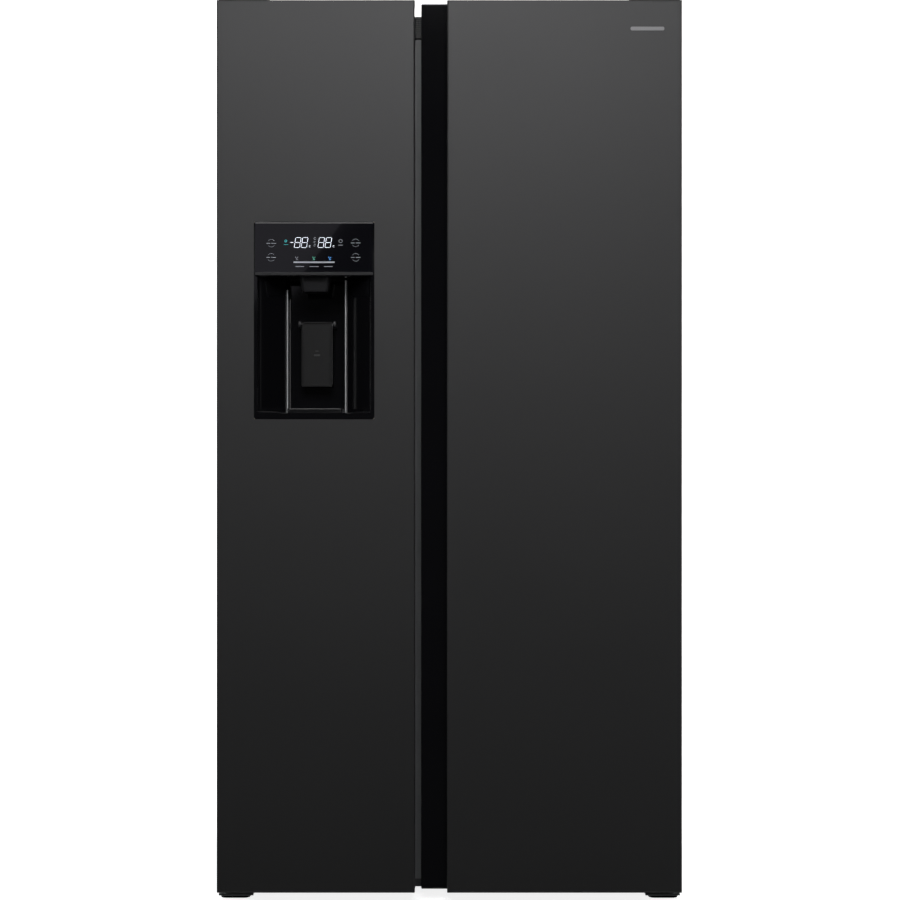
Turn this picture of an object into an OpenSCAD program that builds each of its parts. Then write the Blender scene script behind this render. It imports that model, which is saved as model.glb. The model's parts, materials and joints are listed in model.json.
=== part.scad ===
// Side by side refrigerator with an ice and water dispenser in the freezer door.
// Millimetres. +Z is up, the doors face -Y, and the origin is on the floor under the middle of the box.

/* [Overall] */
// Width across the two doors
overall_w = 911; // [820:1:1100]
// Depth from the door fronts to the rear wall spacers
overall_d = 643; // [600:1:780]
// Height from the floor to the top of the hinge covers
overall_h = 1786; // [1480:1:2150]

/* [Doors] */
// Thickness of both doors
door_t = 60; // [54:1:80]
// Floor to the bottom of the doors
door_bottom = 24; // [22:1:40]
// Width of the freezer door
freezer_door_w = 388; // [360:1:430]
// Gap between the freezer door and the grip strip of the fridge door
door_gap = 12; // [8:0.5:20]
// Visible width of the black grip strip
grip_w = 51; // [44:1:70]
// How far the grip strip is set back from the door front
grip_depth = 30; // [26:1:36]
// How far the finger channel reaches in behind the front panel
grip_undercut = 20; // [14:1:26]
// Wall of the grip profiles
grip_wall = 2; // [1.5:0.5:3]
// Depth of the folded edge of the front panel
panel_fold = 12; // [8:1:14]
// Corner radius of the front panel
panel_r = 4; // [2:0.5:6]
// Sheet thickness of the front panel
panel_t = 1; // [0.8:0.2:2]
// Hinge pin to the outer side of the door
pin_inset = 18; // [16:1:24]
// Hinge pin to the door front
pin_depth = 30; // [26:1:36]
// Radius of the hinge pins
pin_r = 5; // [4:0.5:6]
// Thickness of the end cap flange
cap_t = 2; // [1.5:0.5:4]
// Height of the end cap inside the door
cap_plug = 10; // [8:1:16]
// Height of the raised rim of the inner door liner
rim_h = 48; // [36:1:56]
// Width of that rim
rim_w = 24; // [18:1:30]
// Depth of the pocket that the rim surrounds
pocket_in = 15; // [8:1:20]

/* [Cabinet] */
// Space between the doors and the cabinet
seal_gap = 12; // [10:0.5:16]
// Cabinet side inside the door edge
cabinet_inset = 2; // [0:0.5:6]
// Door top above the cabinet top
cabinet_drop = 15; // [12:1:22]
// Height of the hinge covers above the door top
cover_rise = 16; // [14:1:24]
// Floor to the underside of the cabinet
cabinet_bottom = 18; // [16:1:20]
// Thickness of the rear wall spacers
spacer_t = 10; // [8:1:20]
// Thickness of the outer sheet
sheet_t = 1; // [0.8:0.2:2]
// Wall of the inner liners
liner_t = 2; // [1.5:0.5:3]
// Thickness of the side walls
side_wall = 45; // [40:1:60]
// Width of the wall between the compartments
mullion_w = 76; // [70:1:90]
// Thickness of the top wall
top_wall = 75; // [70:1:95]
// Floor to the compartment floor
inner_floor = 110; // [104:1:130]
// Thickness of the rear wall
rear_wall = 60; // [50:1:70]
// Height of the black strip at the top front
header_h = 46; // [36:1:50]
// Height of the machine bay at the lower rear
bay_top = 250; // [230:1:270]
// Depth of the machine bay
bay_d = 186; // [176:1:200]
// Insulation between the machine bay and the compartments
bay_wall = 50; // [40:1:60]

/* [Dispenser] */
// Width of the dispenser
disp_w = 236; // [220:1:250]
// Height of the dispenser
disp_h = 387; // [360:1:420]
// Share of the free height above the lowest door bin that lies below the dispenser
disp_share = 0.703; // [0.6:0.001:0.75]
// Height of the control panel
control_h = 108; // [96:1:120]
// Dispenser centre from the middle of the freezer door
disp_shift = -3; // [-6:1:6]
// Depth of the recess
recess_d = 100; // [92:1:104]
// Width of the flat panel at the back of the recess
recess_back_w = 119; // [110:1:130]
// Depth where the sloping sides of the recess end
recess_side_d = 60; // [50:1:70]
// Width of the paddle
paddle_w = 62; // [50:1:70]
// Height of the paddle
paddle_h = 130; // [110:1:140]

/* [Interior] */
// Gap kept between what swings with a door and the compartment walls
rim_clear = 2; // [1:0.5:5]
// Front of the shelves, behind the cabinet front
shelf_setback = 118; // [114:1:130]
// Thickness of the shelf glass
glass_t = 4; // [3:0.5:6]
// Depth of the freezer and fridge door bins from the door back
bin_d = 98; // [80:1:100]
// Wall of the drawers, bins and ice bucket
tub_wall = 2.5; // [2:0.5:4]
// Height of the lower drawers
lower_drawer_h = 190; // [158:1:228]
// Height of the upper drawers
upper_drawer_h = 190; // [158:1:228]

/* [Feet and rollers] */
// Radius of the levelling feet
foot_r = 29.5; // [24:0.5:32]
// Radius of the threaded studs
stud_r = 5; // [4:0.5:6]
// Radius of the rear rollers
roller_r = 25; // [20:1:28]

/* [Hidden] */
$fn = 72;

// Main planes
half_w = overall_w / 2;
front_y = -overall_d / 2;
door_back = front_y + door_t;
cab_front = door_back + seal_gap;
cab_back = overall_d / 2 - spacer_t;
door_top = overall_h - cover_rise;
cab_top = door_top - cabinet_drop;
cab_x = half_w - cabinet_inset;
foam_x = cab_x - sheet_t;
foam_front = cab_front + sheet_t;
foam_back = cab_back - sheet_t;
foam_top = cab_top - sheet_t;
base_t = 2;
foam_bottom = cabinet_bottom + base_t;
free_gap = 0.4;                      // kept between parts that move past each other

// Door edges
freezer_edge = -half_w + freezer_door_w;
fridge_edge = freezer_edge + door_gap;
strip_edge = fridge_edge + grip_w;   // left edge of the front panel of the fridge door
mullion_x = (freezer_edge + fridge_edge) / 2;
grip_y = front_y + grip_depth;
pin_x = half_w - pin_inset;
pin_y = front_y + pin_depth;
plate_y = cab_front - pin_y;         // cabinet front plane behind the pin

// Compartments, as the insulation leaves them and as the liners leave them
opening_top = cab_top - top_wall;
header_bottom = cab_top - header_h;
bay_front = cab_back - bay_d;
step_y = bay_front - bay_wall;
step_z = bay_top + bay_wall;
back_y = foam_back - rear_wall;
freezer_hole = [-cab_x + side_wall, mullion_x - mullion_w / 2];
fridge_hole = [mullion_x + mullion_w / 2, cab_x - side_wall];
freezer_x = [freezer_hole[0] + liner_t, freezer_hole[1] - liner_t];
fridge_x = [fridge_hole[0] + liner_t, fridge_hole[1] - liner_t];
room_z = [inner_floor + liner_t, opening_top - liner_t];
room_back = back_y - liner_t;
ledge_z = step_z + liner_t;
ledge_y = step_y - liner_t;
shelf_y = cab_front + shelf_setback;

// Furthest point from the pin that a swinging part may have at a depth behind it
function reach(wall, depth) = sqrt(pow(wall - rim_clear, 2) - depth * depth + plate_y * plate_y);

// Inner edge of what stands on a door back, by how far it stands out
function freezer_reach(out) = -pin_x + reach(freezer_x[1] + pin_x, door_back + out - pin_y);
function fridge_reach(out) = pin_x - reach(pin_x - fridge_x[0], door_back + out - pin_y);
hinge_side_clear = 4;
freezer_rim = [freezer_x[0] + hinge_side_clear, freezer_reach(rim_h)];
fridge_rim = [fridge_reach(rim_h), fridge_x[1] - hinge_side_clear];
rim_z = [room_z[0] + hinge_side_clear, room_z[1] - hinge_side_clear];
freezer_bin = [freezer_rim[0] + rim_w, min(freezer_rim[1] - rim_w, freezer_reach(bin_d))];
fridge_bin = [max(fridge_rim[0] + rim_w, fridge_reach(bin_d)), fridge_rim[1] - rim_w];
bin_y = [door_back - pocket_in, door_back + bin_d];

// Levels inside
rail_h = 6;
rail_w = 8;
bin_h = 110;
ice_zone = 150;
dairy_zone = 190;
lower_drawer_z = room_z[0] + 10;
upper_drawer_z = max(ledge_z, lower_drawer_z + lower_drawer_h) + rail_h + 8;
shelf_first = upper_drawer_z + upper_drawer_h + rail_h + 8;
shelf_levels = [for (i = [0:3]) shelf_first + i * (room_z[1] - ice_zone - shelf_first) / 4];
bin_first = shelf_first + 30;
fridge_bin_levels = [for (i = [0:3]) bin_first + i * (room_z[1] - dairy_zone - bin_first) / 4];
dairy_z = [room_z[1] - dairy_zone + 10, rim_z[1] - rim_w - 10];
duct_y = room_back - 58;
bucket_top = room_z[1] - ice_zone - 10;
bucket_gap = 8;
bulge_frame = 14;

// Dispenser
disp_x = (freezer_edge - half_w) / 2 + disp_shift;
disp_left = disp_x - disp_w / 2;
disp_right = disp_x + disp_w / 2;
free_height = bucket_top - bucket_gap - bin_first - disp_h - 2 * bulge_frame;
disp_z = round(bin_first + bulge_frame + disp_share * free_height);
disp_top = disp_z + disp_h;
control_z = disp_top - control_h;
disp_wall = 3;
disp_lip = 2;
recess_top = control_z;
recess_floor = disp_z + 12;
housing_back = front_y + recess_d + disp_wall;
bulge_wall = 24;
bulge_back = housing_back + bulge_wall;
bulge_z = [disp_z - bulge_frame, disp_top + bulge_frame];
bulge_x = [max(disp_left - bulge_frame, freezer_bin[0]),
           min(disp_right + bulge_frame, freezer_reach(bulge_back - door_back))];
bin_pitch = bin_h + 30;
freezer_bins = max(1, floor((bulge_z[0] - bin_first) / bin_pitch));
freezer_bin_levels = [for (i = [0:freezer_bins - 1]) bin_first + i * (bulge_z[0] - bin_first) / freezer_bins];

// Feet, rollers and hinges
foot_x = half_w - foot_r - 0.5;
foot_y = cab_front + 10;
boss_r = 9;
hinge_plate_t = 4;
hinge_plate_z = cabinet_bottom - hinge_plate_t;
stud_top = cabinet_bottom + 40;
roller_x = foam_x - 52;
roller_y = cab_back - 60;
axle_r = 4;
running_gap = 0.05;                  // radial gap of a shaft that turns or slides in its bore
pin_length = 11;
inlet_r = 5;                         // stub that the water hose pushes over
fan_y = (bay_front + cab_back) / 2;
fan_z = (foam_bottom + bay_top) / 2;
fan_x = -90;
fan_r = 60;
blower_x = (freezer_x[0] + freezer_x[1]) / 2;
blower_y = duct_y + 12;
blower_z = shelf_levels[3] + 60;
blower_r = 50;

// ---------------------------------------------------------------- helpers

// Box from three pairs of limits
module block(x, y, z) {
    translate([x[0], y[0], z[0]])
        cube([x[1] - x[0], y[1] - y[0], z[1] - z[0]]);
}

// Rounded rectangle with its corner at the origin
module rounded(w, h, r) {
    translate([r, 0])
        square([w - 2 * r, h]);
    translate([0, r])
        square([w, h - 2 * r]);
    for (x = [r, w - r], y = [r, h - r])
        translate([x, y])
            circle(r);
}

// Box with rounded vertical edges
module upright(x, y, z, r) {
    translate([x[0], y[0], z[0]])
        linear_extrude(z[1] - z[0])
            rounded(x[1] - x[0], y[1] - y[0], r);
}

// Box with rounded edges along Y
module facing(x, y, z, r) {
    translate([x[0], y[1], z[0]])
        rotate([90, 0, 0])
            linear_extrude(y[1] - y[0])
                rounded(x[1] - x[0], z[1] - z[0], r);
}

// Open box with rounded vertical edges
module tub(x, y, z, r, wall) {
    difference() {
        upright(x, y, z, r);
        upright([x[0] + wall, x[1] - wall], [y[0] + wall, y[1] - wall], [z[0] + wall, z[1] + 1], r - wall / 2);
    }
}

// Bar along X
module bar_x(x0, x1, y, z, r) {
    translate([x0, y, z])
        rotate([0, 90, 0])
            cylinder(r = r, h = x1 - x0);
}

// Bar along Y
module bar_y(x, y0, y1, z, r) {
    translate([x, y0, z])
        rotate([-90, 0, 0])
            cylinder(r = r, h = y1 - y0);
}

// Both sides of the cabinet
module pair() {
    children();
    mirror([1, 0, 0])
        children();
}

// A compartment as a solid: the floor steps up over the machine bay
module compartment(x, inset) {
    block(x, [cab_front - 1, step_y - inset], [inner_floor + inset, opening_top - inset]);
    block(x, [cab_front - 1, back_y - inset], [step_z + inset, opening_top - inset]);
}

// Liner of one compartment with the rails that carry its shelves and drawers
module liner(hole, room, rear) {
    rails = [for (z = shelf_levels) [z - rail_h, z, rear]];
    drawer_rail = [upper_drawer_z - free_gap - rail_h, upper_drawer_z - free_gap, rear];
    floor_rail = [room_z[0], lower_drawer_z - free_gap, ledge_y];
    difference() {
        intersection() {
            compartment(hole, 0);
            block(hole, [cab_front, back_y], [inner_floor, opening_top]);
        }
        compartment(room, liner_t);
    }
    for (rail = concat(rails, [drawer_rail, floor_rail])) {
        block([room[0], room[0] + rail_w], [shelf_y + 10, rail[2] - 10], [rail[0], rail[1]]);
        block([room[1] - rail_w, room[1]], [shelf_y + 10, rail[2] - 10], [rail[0], rail[1]]);
    }
}

// Fan wheel with its axis along Z
module fan_wheel(r, h, blades, bore) {
    hub = r * 0.32;
    difference() {
        union() {
            cylinder(r = hub, h = h);
            for (i = [0:blades - 1])
                rotate(i * 360 / blades)
                    translate([hub - 2, 0, h / 2])
                        rotate([32, 0, 0])
                            translate([0, -r * 0.24, -1])
                                cube([r - hub, r * 0.48, 2]);
        }
        translate([0, 0, -1])
            cylinder(r = bore, h = h * 0.7 + 1);
    }
}

// ---------------------------------------------------------------- cabinet

module side_panels() {
    color("#3a3b3d")
        pair() {
            block([foam_x, cab_x], [cab_front, cab_back], [cabinet_bottom, cab_top]);
            block([fridge_hole[1], foam_x], [cab_front, foam_front], [inner_floor, opening_top]);
        }
}

module top_panel() {
    color("#3a3b3d") {
        block([-foam_x, foam_x], [cab_front, cab_back], [foam_top, cab_top]);
        block([-foam_x, foam_x], [cab_front, foam_front], [opening_top, foam_top]);
    }
}

module back_panel() {
    color("#8d9093")
        block([-foam_x, foam_x], [foam_back, cab_back], [bay_top, foam_top]);
}

module base_frame() {
    cheek = 12;
    slot = roller_r + 4;
    color("#55585b") {
        difference() {
            union() {
                block([-foam_x, foam_x], [cab_front, cab_back], [cabinet_bottom, foam_bottom]);
                pair()
                    translate([foot_x, foot_y, foam_bottom])
                        cylinder(r = boss_r, h = stud_top + 6 - foam_bottom);
            }
            pair() {
                block([roller_x - cheek, roller_x + cheek], [roller_y - slot, roller_y + slot],
                      [cabinet_bottom - 1, foam_bottom + 1]);
                translate([foot_x, foot_y, cabinet_bottom - 1])
                    cylinder(r = stud_r + running_gap, h = stud_top + 3 - cabinet_bottom);
            }
        }
        block([-foam_x, foam_x], [cab_front, foam_front], [foam_bottom, inner_floor]);
        block([-foam_x, foam_x], [bay_front, bay_front + sheet_t], [foam_bottom, bay_top]);
        block([-foam_x, foam_x], [bay_front, cab_back], [bay_top - sheet_t, bay_top]);
        pair() {
            for (side = [-1, 1])
                translate([roller_x + side * (cheek + 1) - 1, roller_y, 0])
                    block([0, 2], [-14, 14], [foam_bottom, roller_r + 12]);
            bar_x(roller_x - cheek - 2, roller_x + cheek + 2, roller_y, roller_r, axle_r);
        }
    }
}

module cabinet_foam() {
    color("#d9c48a")
        difference() {
            block([-foam_x, foam_x], [foam_front, foam_back], [foam_bottom, foam_top]);
            compartment(freezer_hole, 0);
            compartment(fridge_hole, 0);
            block([-cab_x, cab_x], [bay_front, cab_back], [foam_bottom - 1, bay_top]);
            pair()
                translate([foot_x, foot_y, foam_bottom - 1])
                    cylinder(r = boss_r, h = stud_top + 7 - foam_bottom);
        }
}

module freezer_liner() {
    color("#e6e9eb")
        liner(freezer_hole, freezer_x, duct_y);
}

module fridge_liner() {
    color("#e6e9eb")
        liner(fridge_hole, fridge_x, room_back - 16);
}

module mullion_cover() {
    face_t = 1.2;
    inner = [freezer_hole[1], fridge_hole[0]];
    color("#4b4d50") {
        block(inner, [cab_front - face_t, cab_front], [cabinet_bottom + 16, header_bottom]);
        block(inner, [cab_front, foam_front], [inner_floor, opening_top]);
    }
}

module header_cover() {
    color("#17181a")
        facing([-cab_x, cab_x], [cab_front - 3.5, cab_front], [header_bottom, cab_top], 1.5);
}

module machine_cover() {
    slot_pitch = (cab_x - 40) / 2.5;
    color("#303235")
        difference() {
            block([-foam_x + 1, foam_x - 1], [cab_back - 1.5, cab_back], [foam_bottom, bay_top - sheet_t]);
            for (column = [0:4], row = [0:6])
                block([(column - 2.5) * slot_pitch + 10, (column - 1.5) * slot_pitch - 10], [cab_back - 3, cab_back + 1],
                      [foam_bottom + 46 + row * 22, foam_bottom + 54 + row * 22]);
        }
}

module compressor() {
    can_r = 58;
    can_z = foam_bottom + 22;
    can_h = 92;
    color("#1b1c1e")
        translate([foam_x - 190, fan_y, 0]) {
            translate([0, 0, can_z])
                cylinder(r = can_r, h = can_h);
            translate([0, 0, can_z + can_h])
                cylinder(r1 = can_r, r2 = can_r - 22, h = 20);
            translate([0, 0, can_z - 8])
                cylinder(r1 = can_r - 18, r2 = can_r, h = 8);
            block([-84, 84], [-50, 50], [can_z - 11, can_z - 8]);
            block([can_r - 6, can_r + 24], [-26, 26], [can_z + 20, can_z + 66]);
            for (x = [-70, 70], y = [-38, 38])
                translate([x, y, foam_bottom])
                    cylinder(r = 10, h = can_z - 11 - foam_bottom);
            translate([-can_r - 8, 0, can_z + 30])
                cylinder(r = 4, h = 70);
            bar_x(-can_r - 8, -can_r + 6, 0, can_z + 34, 4);
        }
}

module condenser() {
    tubes_y = [for (i = [0:5]) bay_front + 34 + i * 24];
    tubes_z = [for (i = [0:4]) foam_bottom + 52 + i * 30];
    left = fan_x - 210;
    right = fan_x - 56;
    color("#17181a") {
        for (x = [left + 8, right - 10])
            block([x, x + 2], [tubes_y[0] - 12, tubes_y[5] + 12], [foam_bottom, tubes_z[4] + 12]);
        for (y = tubes_y, z = tubes_z)
            bar_x(left, right, y, z, 4);
        for (y = tubes_y, x = [left, right])
            translate([x, y, tubes_z[0]])
                cylinder(r = 3.5, h = tubes_z[4] - tubes_z[0]);
    }
}

module drain_pan() {
    color("#2b2d2f")
        tub([fan_x - 196, fan_x - 70], [bay_front + 30, cab_back - 24], [foam_bottom, foam_bottom + 26], 8, 2);
}

module fan_shroud() {
    rest = 30;
    color("#24262a")
        translate([fan_x, fan_y, fan_z]) {
            difference() {
                block([-14, 14], [-84, 84], [foam_bottom - fan_z, fan_z - foam_bottom - 6]);
                bar_x(-15, 15, 0, 0, fan_r + 4);
            }
            for (z = [-rest, rest])
                block([10, 14], [-fan_r - 6, fan_r + 6], [z - 4, z + 4]);
            difference() {
                block([10, 14], [-22, 22], [-rest, rest]);
                bar_x(9, 11, 0, 0, 1);
            }
            bar_x(14, 44, 0, 0, 20);
            bar_x(-3, 12, 0, 0, 3);
        }
}

module condenser_fan() {
    color("#3d4044")
        translate([fan_x + 9, fan_y, fan_z])
            rotate([0, -90, 0])
                fan_wheel(fan_r, 18, 5, 3 + running_gap);
}

module evaporator() {
    rows = 6;
    fins = 13;
    left = freezer_x[0] + 34;
    right = freezer_x[1] - 34;
    low = ledge_z + 60;
    pitch = (right - left - 2) / (fins - 1);
    color("#b9bdc0") {
        for (i = [0:fins - 1])
            translate([left + i * pitch, 0, 0])
                block([0, 2], [duct_y + 10, room_back - 6], [low, low + rows * 44]);
        for (i = [0:rows - 1], y = [duct_y + 22, room_back - 18])
            bar_x(left - 12, right + 12, y, low + 22 + i * 44, 4);
    }
}

module freezer_duct_cover() {
    x = [freezer_x[0] + 1, freezer_x[1] - 1];
    top = shelf_levels[3] + 130;
    color("#dfe3e6") {
        difference() {
            union() {
                block(x, [duct_y, duct_y + 3], [ledge_z, top]);
                block(x, [duct_y, room_back], [top - 3, top]);
            }
            for (i = [0:7])
                facing([blower_x - 62, blower_x + 62], [duct_y - 1, duct_y + 4],
                       [blower_z - 44 + i * 12, blower_z - 38 + i * 12], 2.9);
            for (level = [0:2], side = [-1, 1])
                facing([blower_x + side * 86 - 34, blower_x + side * 86 + 34], [duct_y - 1, duct_y + 4],
                       [shelf_levels[level] + 150, shelf_levels[level] + 160], 4.9);
        }
        bar_y(blower_x, blower_y + 22, room_back, blower_z, 16);
        bar_y(blower_x, blower_y + 9.5, blower_y + 22, blower_z, 3);
    }
}

module evaporator_fan() {
    color("#3d4044")
        translate([blower_x, blower_y + 20, blower_z])
            rotate([90, 0, 0])
                fan_wheel(blower_r, 16, 7, 3 + running_gap);
}

module fridge_duct_cover() {
    mid = (fridge_x[0] + fridge_x[1]) / 2;
    color("#dfe3e6")
        difference() {
            facing([mid - 90, mid + 90], [room_back - 14, room_back], [shelf_levels[0] + 20, room_z[1] - 40], 12);
            for (z = shelf_levels, side = [-1, 1])
                facing([mid + side * 44 - 26, mid + side * 44 + 26], [room_back - 15, room_back - 3],
                       [z + 130, z + 142], 5.9);
        }
}

module cabinet_lamps() {
    color("#f4f6f8")
        for (room = [freezer_x, fridge_x])
            translate([(room[0] + room[1]) / 2, 0, 0])
                facing([-60, 60], [shelf_y + 10, shelf_y + 46], [room_z[1] - 9, room_z[1]], 3);
}

module ice_maker() {
    y = [shelf_y + 70, duct_y - 70];
    z = [room_z[1] - 120, room_z[1]];
    color("#c8ccd0") {
        upright([freezer_x[0] + 40, freezer_x[0] + 96], y, z, 6);
        tub([freezer_x[0] + 96, freezer_x[1] - 50], [y[0] + 24, y[1] - 24], [z[0] + 28, z[0] + 78], 5, 3);
        block([freezer_x[1] - 50, freezer_x[1] - 44], [y[0] + 24, y[1] - 24], [z[0] + 20, z[1]]);
        bar_x(freezer_x[0] + 96, freezer_x[1] - 50, y[0] + 12, z[0] + 16, 2.5);
        block([freezer_x[1] - 50, freezer_x[1] - 44], [y[0] + 8, y[0] + 24], [z[0] + 10, z[0] + 40]);
    }
}

module shelves(room, rear) {
    for (z = shelf_levels)
        upright([room[0] + 0.5, room[1] - 0.5], [shelf_y, rear - 4], [z, z + glass_t], 6);
}

module freezer_shelves() {
    color("#cfe3e0")
        shelves(freezer_x, duct_y);
}

module fridge_shelves() {
    color("#cfe3e0")
        shelves(fridge_x, room_back - 16);
}

// Drawer with a scooped pull along the top of its front
module drawer(room, rear, z, h) {
    x = [room[0] + 3, room[1] - 3];
    front_t = 14;
    mid = (x[0] + x[1]) / 2;
    difference() {
        facing(x, [shelf_y, shelf_y + front_t], [z, z + h], 6);
        facing([mid - 60, mid + 60], [shelf_y - 1, shelf_y + front_t - 3], [z + h - 34, z + h - 12], 8);
    }
    tub([x[0] + 4, x[1] - 4], [shelf_y + front_t, rear - 6], [z, z + h - 10], 12, tub_wall);
}

module freezer_drawer_upper() {
    color("#dfe9ee")
        drawer(freezer_x, duct_y, upper_drawer_z, upper_drawer_h);
}

module freezer_drawer_lower() {
    color("#dfe9ee")
        drawer(freezer_x, ledge_y, lower_drawer_z, lower_drawer_h);
}

module crisper_upper() {
    color("#dfe9ee")
        drawer(fridge_x, room_back - 16, upper_drawer_z, upper_drawer_h);
}

module crisper_lower() {
    color("#dfe9ee")
        drawer(fridge_x, ledge_y, lower_drawer_z, lower_drawer_h);
}

module top_hinges() {
    arm_z = door_top + 2;
    color("#6d7073")
        pair() {
            block([cab_x - 80, cab_x - 4], [cab_front + 2, cab_front + 70], [cab_top, cab_top + 3]);
            block([cab_x - 60, cab_x - 6], [cab_front + 2, cab_front + 18], [cab_top + 3, arm_z]);
            block([pin_x - 14, pin_x + 10], [pin_y - 12, cab_front + 18], [arm_z, arm_z + 4]);
            translate([pin_x, pin_y, door_top - pin_length])
                cylinder(r = pin_r, h = arm_z - door_top + pin_length);
        }
}

module bottom_hinges() {
    color("#1d1e20")
        pair() {
            difference() {
                block([pin_x - 52, cab_x], [pin_y - 12, cab_front + 60], [hinge_plate_z, cabinet_bottom]);
                translate([foot_x, foot_y, hinge_plate_z - 1])
                    cylinder(r = stud_r + 1, h = hinge_plate_t + 2);
            }
            translate([pin_x, pin_y, cabinet_bottom])
                cylinder(r = pin_r + 3, h = door_bottom - free_gap - cabinet_bottom);
            translate([pin_x, pin_y, door_bottom - free_gap])
                cylinder(r = pin_r, h = pin_length);
        }
}

module hinge_covers() {
    wall = 2;
    x = [cab_x - 96, cab_x];
    y = [pin_y - 20, cab_front + 84];
    skirt_y = cab_front - 4;
    color("#1a1b1d")
        pair()
            difference() {
                union() {
                    upright(x, y, [door_top + 0.6, overall_h], 8);
                    upright(x, [skirt_y, y[1]], [cab_top, overall_h], 1.8);
                }
                upright([x[0] + wall, x[1] - wall], [y[0] + wall, y[1] - wall],
                        [door_top - 1, overall_h - wall], 6);
                upright([x[0] + wall, x[1] - wall], [skirt_y + wall, y[1] - wall],
                        [cab_top - 1, overall_h - wall], 1);
            }
}

module leveller() {
    pad_h = hinge_plate_z - free_gap;
    chamfer = 4;
    translate([foot_x, foot_y, 0]) {
        cylinder(r1 = foot_r - chamfer, r2 = foot_r, h = chamfer);
        translate([0, 0, chamfer])
            cylinder(r = foot_r, h = pad_h - chamfer);
        translate([0, 0, pad_h])
            cylinder(r = stud_r, h = stud_top - pad_h);
    }
}

module leveller_left() {
    color("#202124")
        mirror([1, 0, 0])
            leveller();
}

module leveller_right() {
    color("#202124")
        leveller();
}

module roller() {
    difference() {
        bar_x(roller_x - 10, roller_x + 10, roller_y, roller_r, roller_r);
        bar_x(roller_x - 11, roller_x + 11, roller_y, roller_r, axle_r + running_gap);
    }
}

module roller_left() {
    color("#2a2b2d")
        mirror([1, 0, 0])
            roller();
}

module roller_right() {
    color("#2a2b2d")
        roller();
}

module wall_spacers() {
    color("#1d1e20")
        pair()
            facing([cab_x - 170, cab_x - 130], [cab_back, cab_back + spacer_t], [cab_top - 220, cab_top - 120], 6);
}

module water_inlet() {
    color("#c9ccd0")
        translate([-cab_x + 150, cab_back, bay_top + 70])
            rotate([-90, 0, 0]) {
                cylinder(r = 20, h = 3);
                cylinder(r = 11, h = 4);
                cylinder(r = inlet_r, h = spacer_t - 0.5);
            }
}

module cord_gland() {
    color("#141516")
        translate([cab_x - 150, cab_back, bay_top + 70])
            rotate([-90, 0, 0])
                difference() {
                    union() {
                        cylinder(r = 17, h = 3);
                        cylinder(r = 11, h = 9);
                    }
                    translate([0, 0, 1])
                        cylinder(r = 4, h = 9);
                }
}

// ---------------------------------------------------------------- doors

function inset(span, by) = [span[0] + by, span[1] - by];

freezer_panel_u = freezer_door_w;
freezer_back_u = freezer_door_w;
fridge_panel_u = half_w - strip_edge;
fridge_back_u = half_w - fridge_edge;
sheet_z = [door_bottom + cap_t, door_top - cap_t];
fill_z = inset(sheet_z, cap_plug);

// Places a part drawn from the hinge side of a door inwards
module on_door(side) {
    translate([side * half_w, 0, 0])
        mirror([side > 0 ? 1 : 0, 0, 0])
            children();
}

// Door section as seen from above, filled
module door_outline(panel_u, back_u) {
    difference() {
        union() {
            translate([0, front_y])
                rounded(panel_u, door_t, panel_r);
            translate([0, grip_y])
                square([back_u, door_back - grip_y]);
        }
        translate([panel_u - grip_undercut, front_y + panel_fold + grip_wall])
            square([grip_undercut + 1, grip_depth - panel_fold - grip_wall]);
    }
}

// Steel wrap of a door: front, hinge side and the folded edge at the grip
module door_wrap(panel_u) {
    translate([0, 0, sheet_z[0]])
        linear_extrude(sheet_z[1] - sheet_z[0])
            difference() {
                union() {
                    translate([0, front_y])
                        rounded(panel_u, door_t, panel_r);
                    translate([0, grip_y])
                        square([panel_u / 2, door_back - grip_y]);
                }
                translate([panel_t, front_y + panel_t])
                    rounded(panel_u - 2 * panel_t, door_t * 2, panel_r - panel_t);
                translate([panel_u / 2, front_y + panel_fold])
                    square([panel_u, door_t]);
            }
}

// Channel for the fingers, with the strip and the side wall behind it
module grip_profile(panel_u, back_u) {
    deep_u = panel_u - grip_undercut;
    translate([0, 0, sheet_z[0]])
        linear_extrude(sheet_z[1] - sheet_z[0]) {
            difference() {
                translate([deep_u - grip_wall, front_y + panel_fold])
                    square([grip_undercut + grip_wall, grip_depth + grip_wall - panel_fold]);
                translate([deep_u, front_y + panel_fold + grip_wall])
                    square([grip_undercut + 1, grip_depth - panel_fold - grip_wall]);
            }
            translate([deep_u, grip_y])
                square([back_u - deep_u, grip_wall]);
            translate([back_u - grip_wall, grip_y])
                square([grip_wall, door_back - grip_y]);
        }
}

// Inside of a door from above: what the foam and the plugs of the end caps fill
module fill_outline(panel_u, back_u) {
    deep_u = panel_u - grip_undercut - grip_wall;
    translate([panel_t, front_y + panel_t])
        rounded(deep_u - panel_t, grip_depth + grip_wall - panel_t, panel_r - panel_t);
    translate([panel_r, front_y + panel_t])
        square([panel_u - panel_r - panel_t - panel_r, panel_fold - panel_t]);
    translate([panel_t, front_y + panel_fold])
        square([deep_u - panel_t, door_t / 2 - panel_fold]);
    translate([panel_t, grip_y + grip_wall])
        square([back_u - panel_t - grip_wall, door_back - liner_t - grip_y - grip_wall]);
}

// Both end caps of a door, with the bores for the hinge pins
module end_caps(panel_u, back_u) {
    difference() {
        for (z = [door_bottom, door_top - cap_t])
            translate([0, 0, z])
                linear_extrude(cap_t)
                    door_outline(panel_u, back_u);
        hinge_bores();
    }
    difference() {
        for (z = [sheet_z[0], fill_z[1]])
            translate([0, 0, z])
                linear_extrude(cap_plug)
                    fill_outline(panel_u, back_u);
        hinge_bores();
    }
}

module hinge_bores() {
    for (z = [door_bottom - 1, fill_z[1] - 1])
        translate([pin_inset, pin_y, z])
            cylinder(r = pin_r + running_gap, h = cap_t + cap_plug + 2);
}

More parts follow.
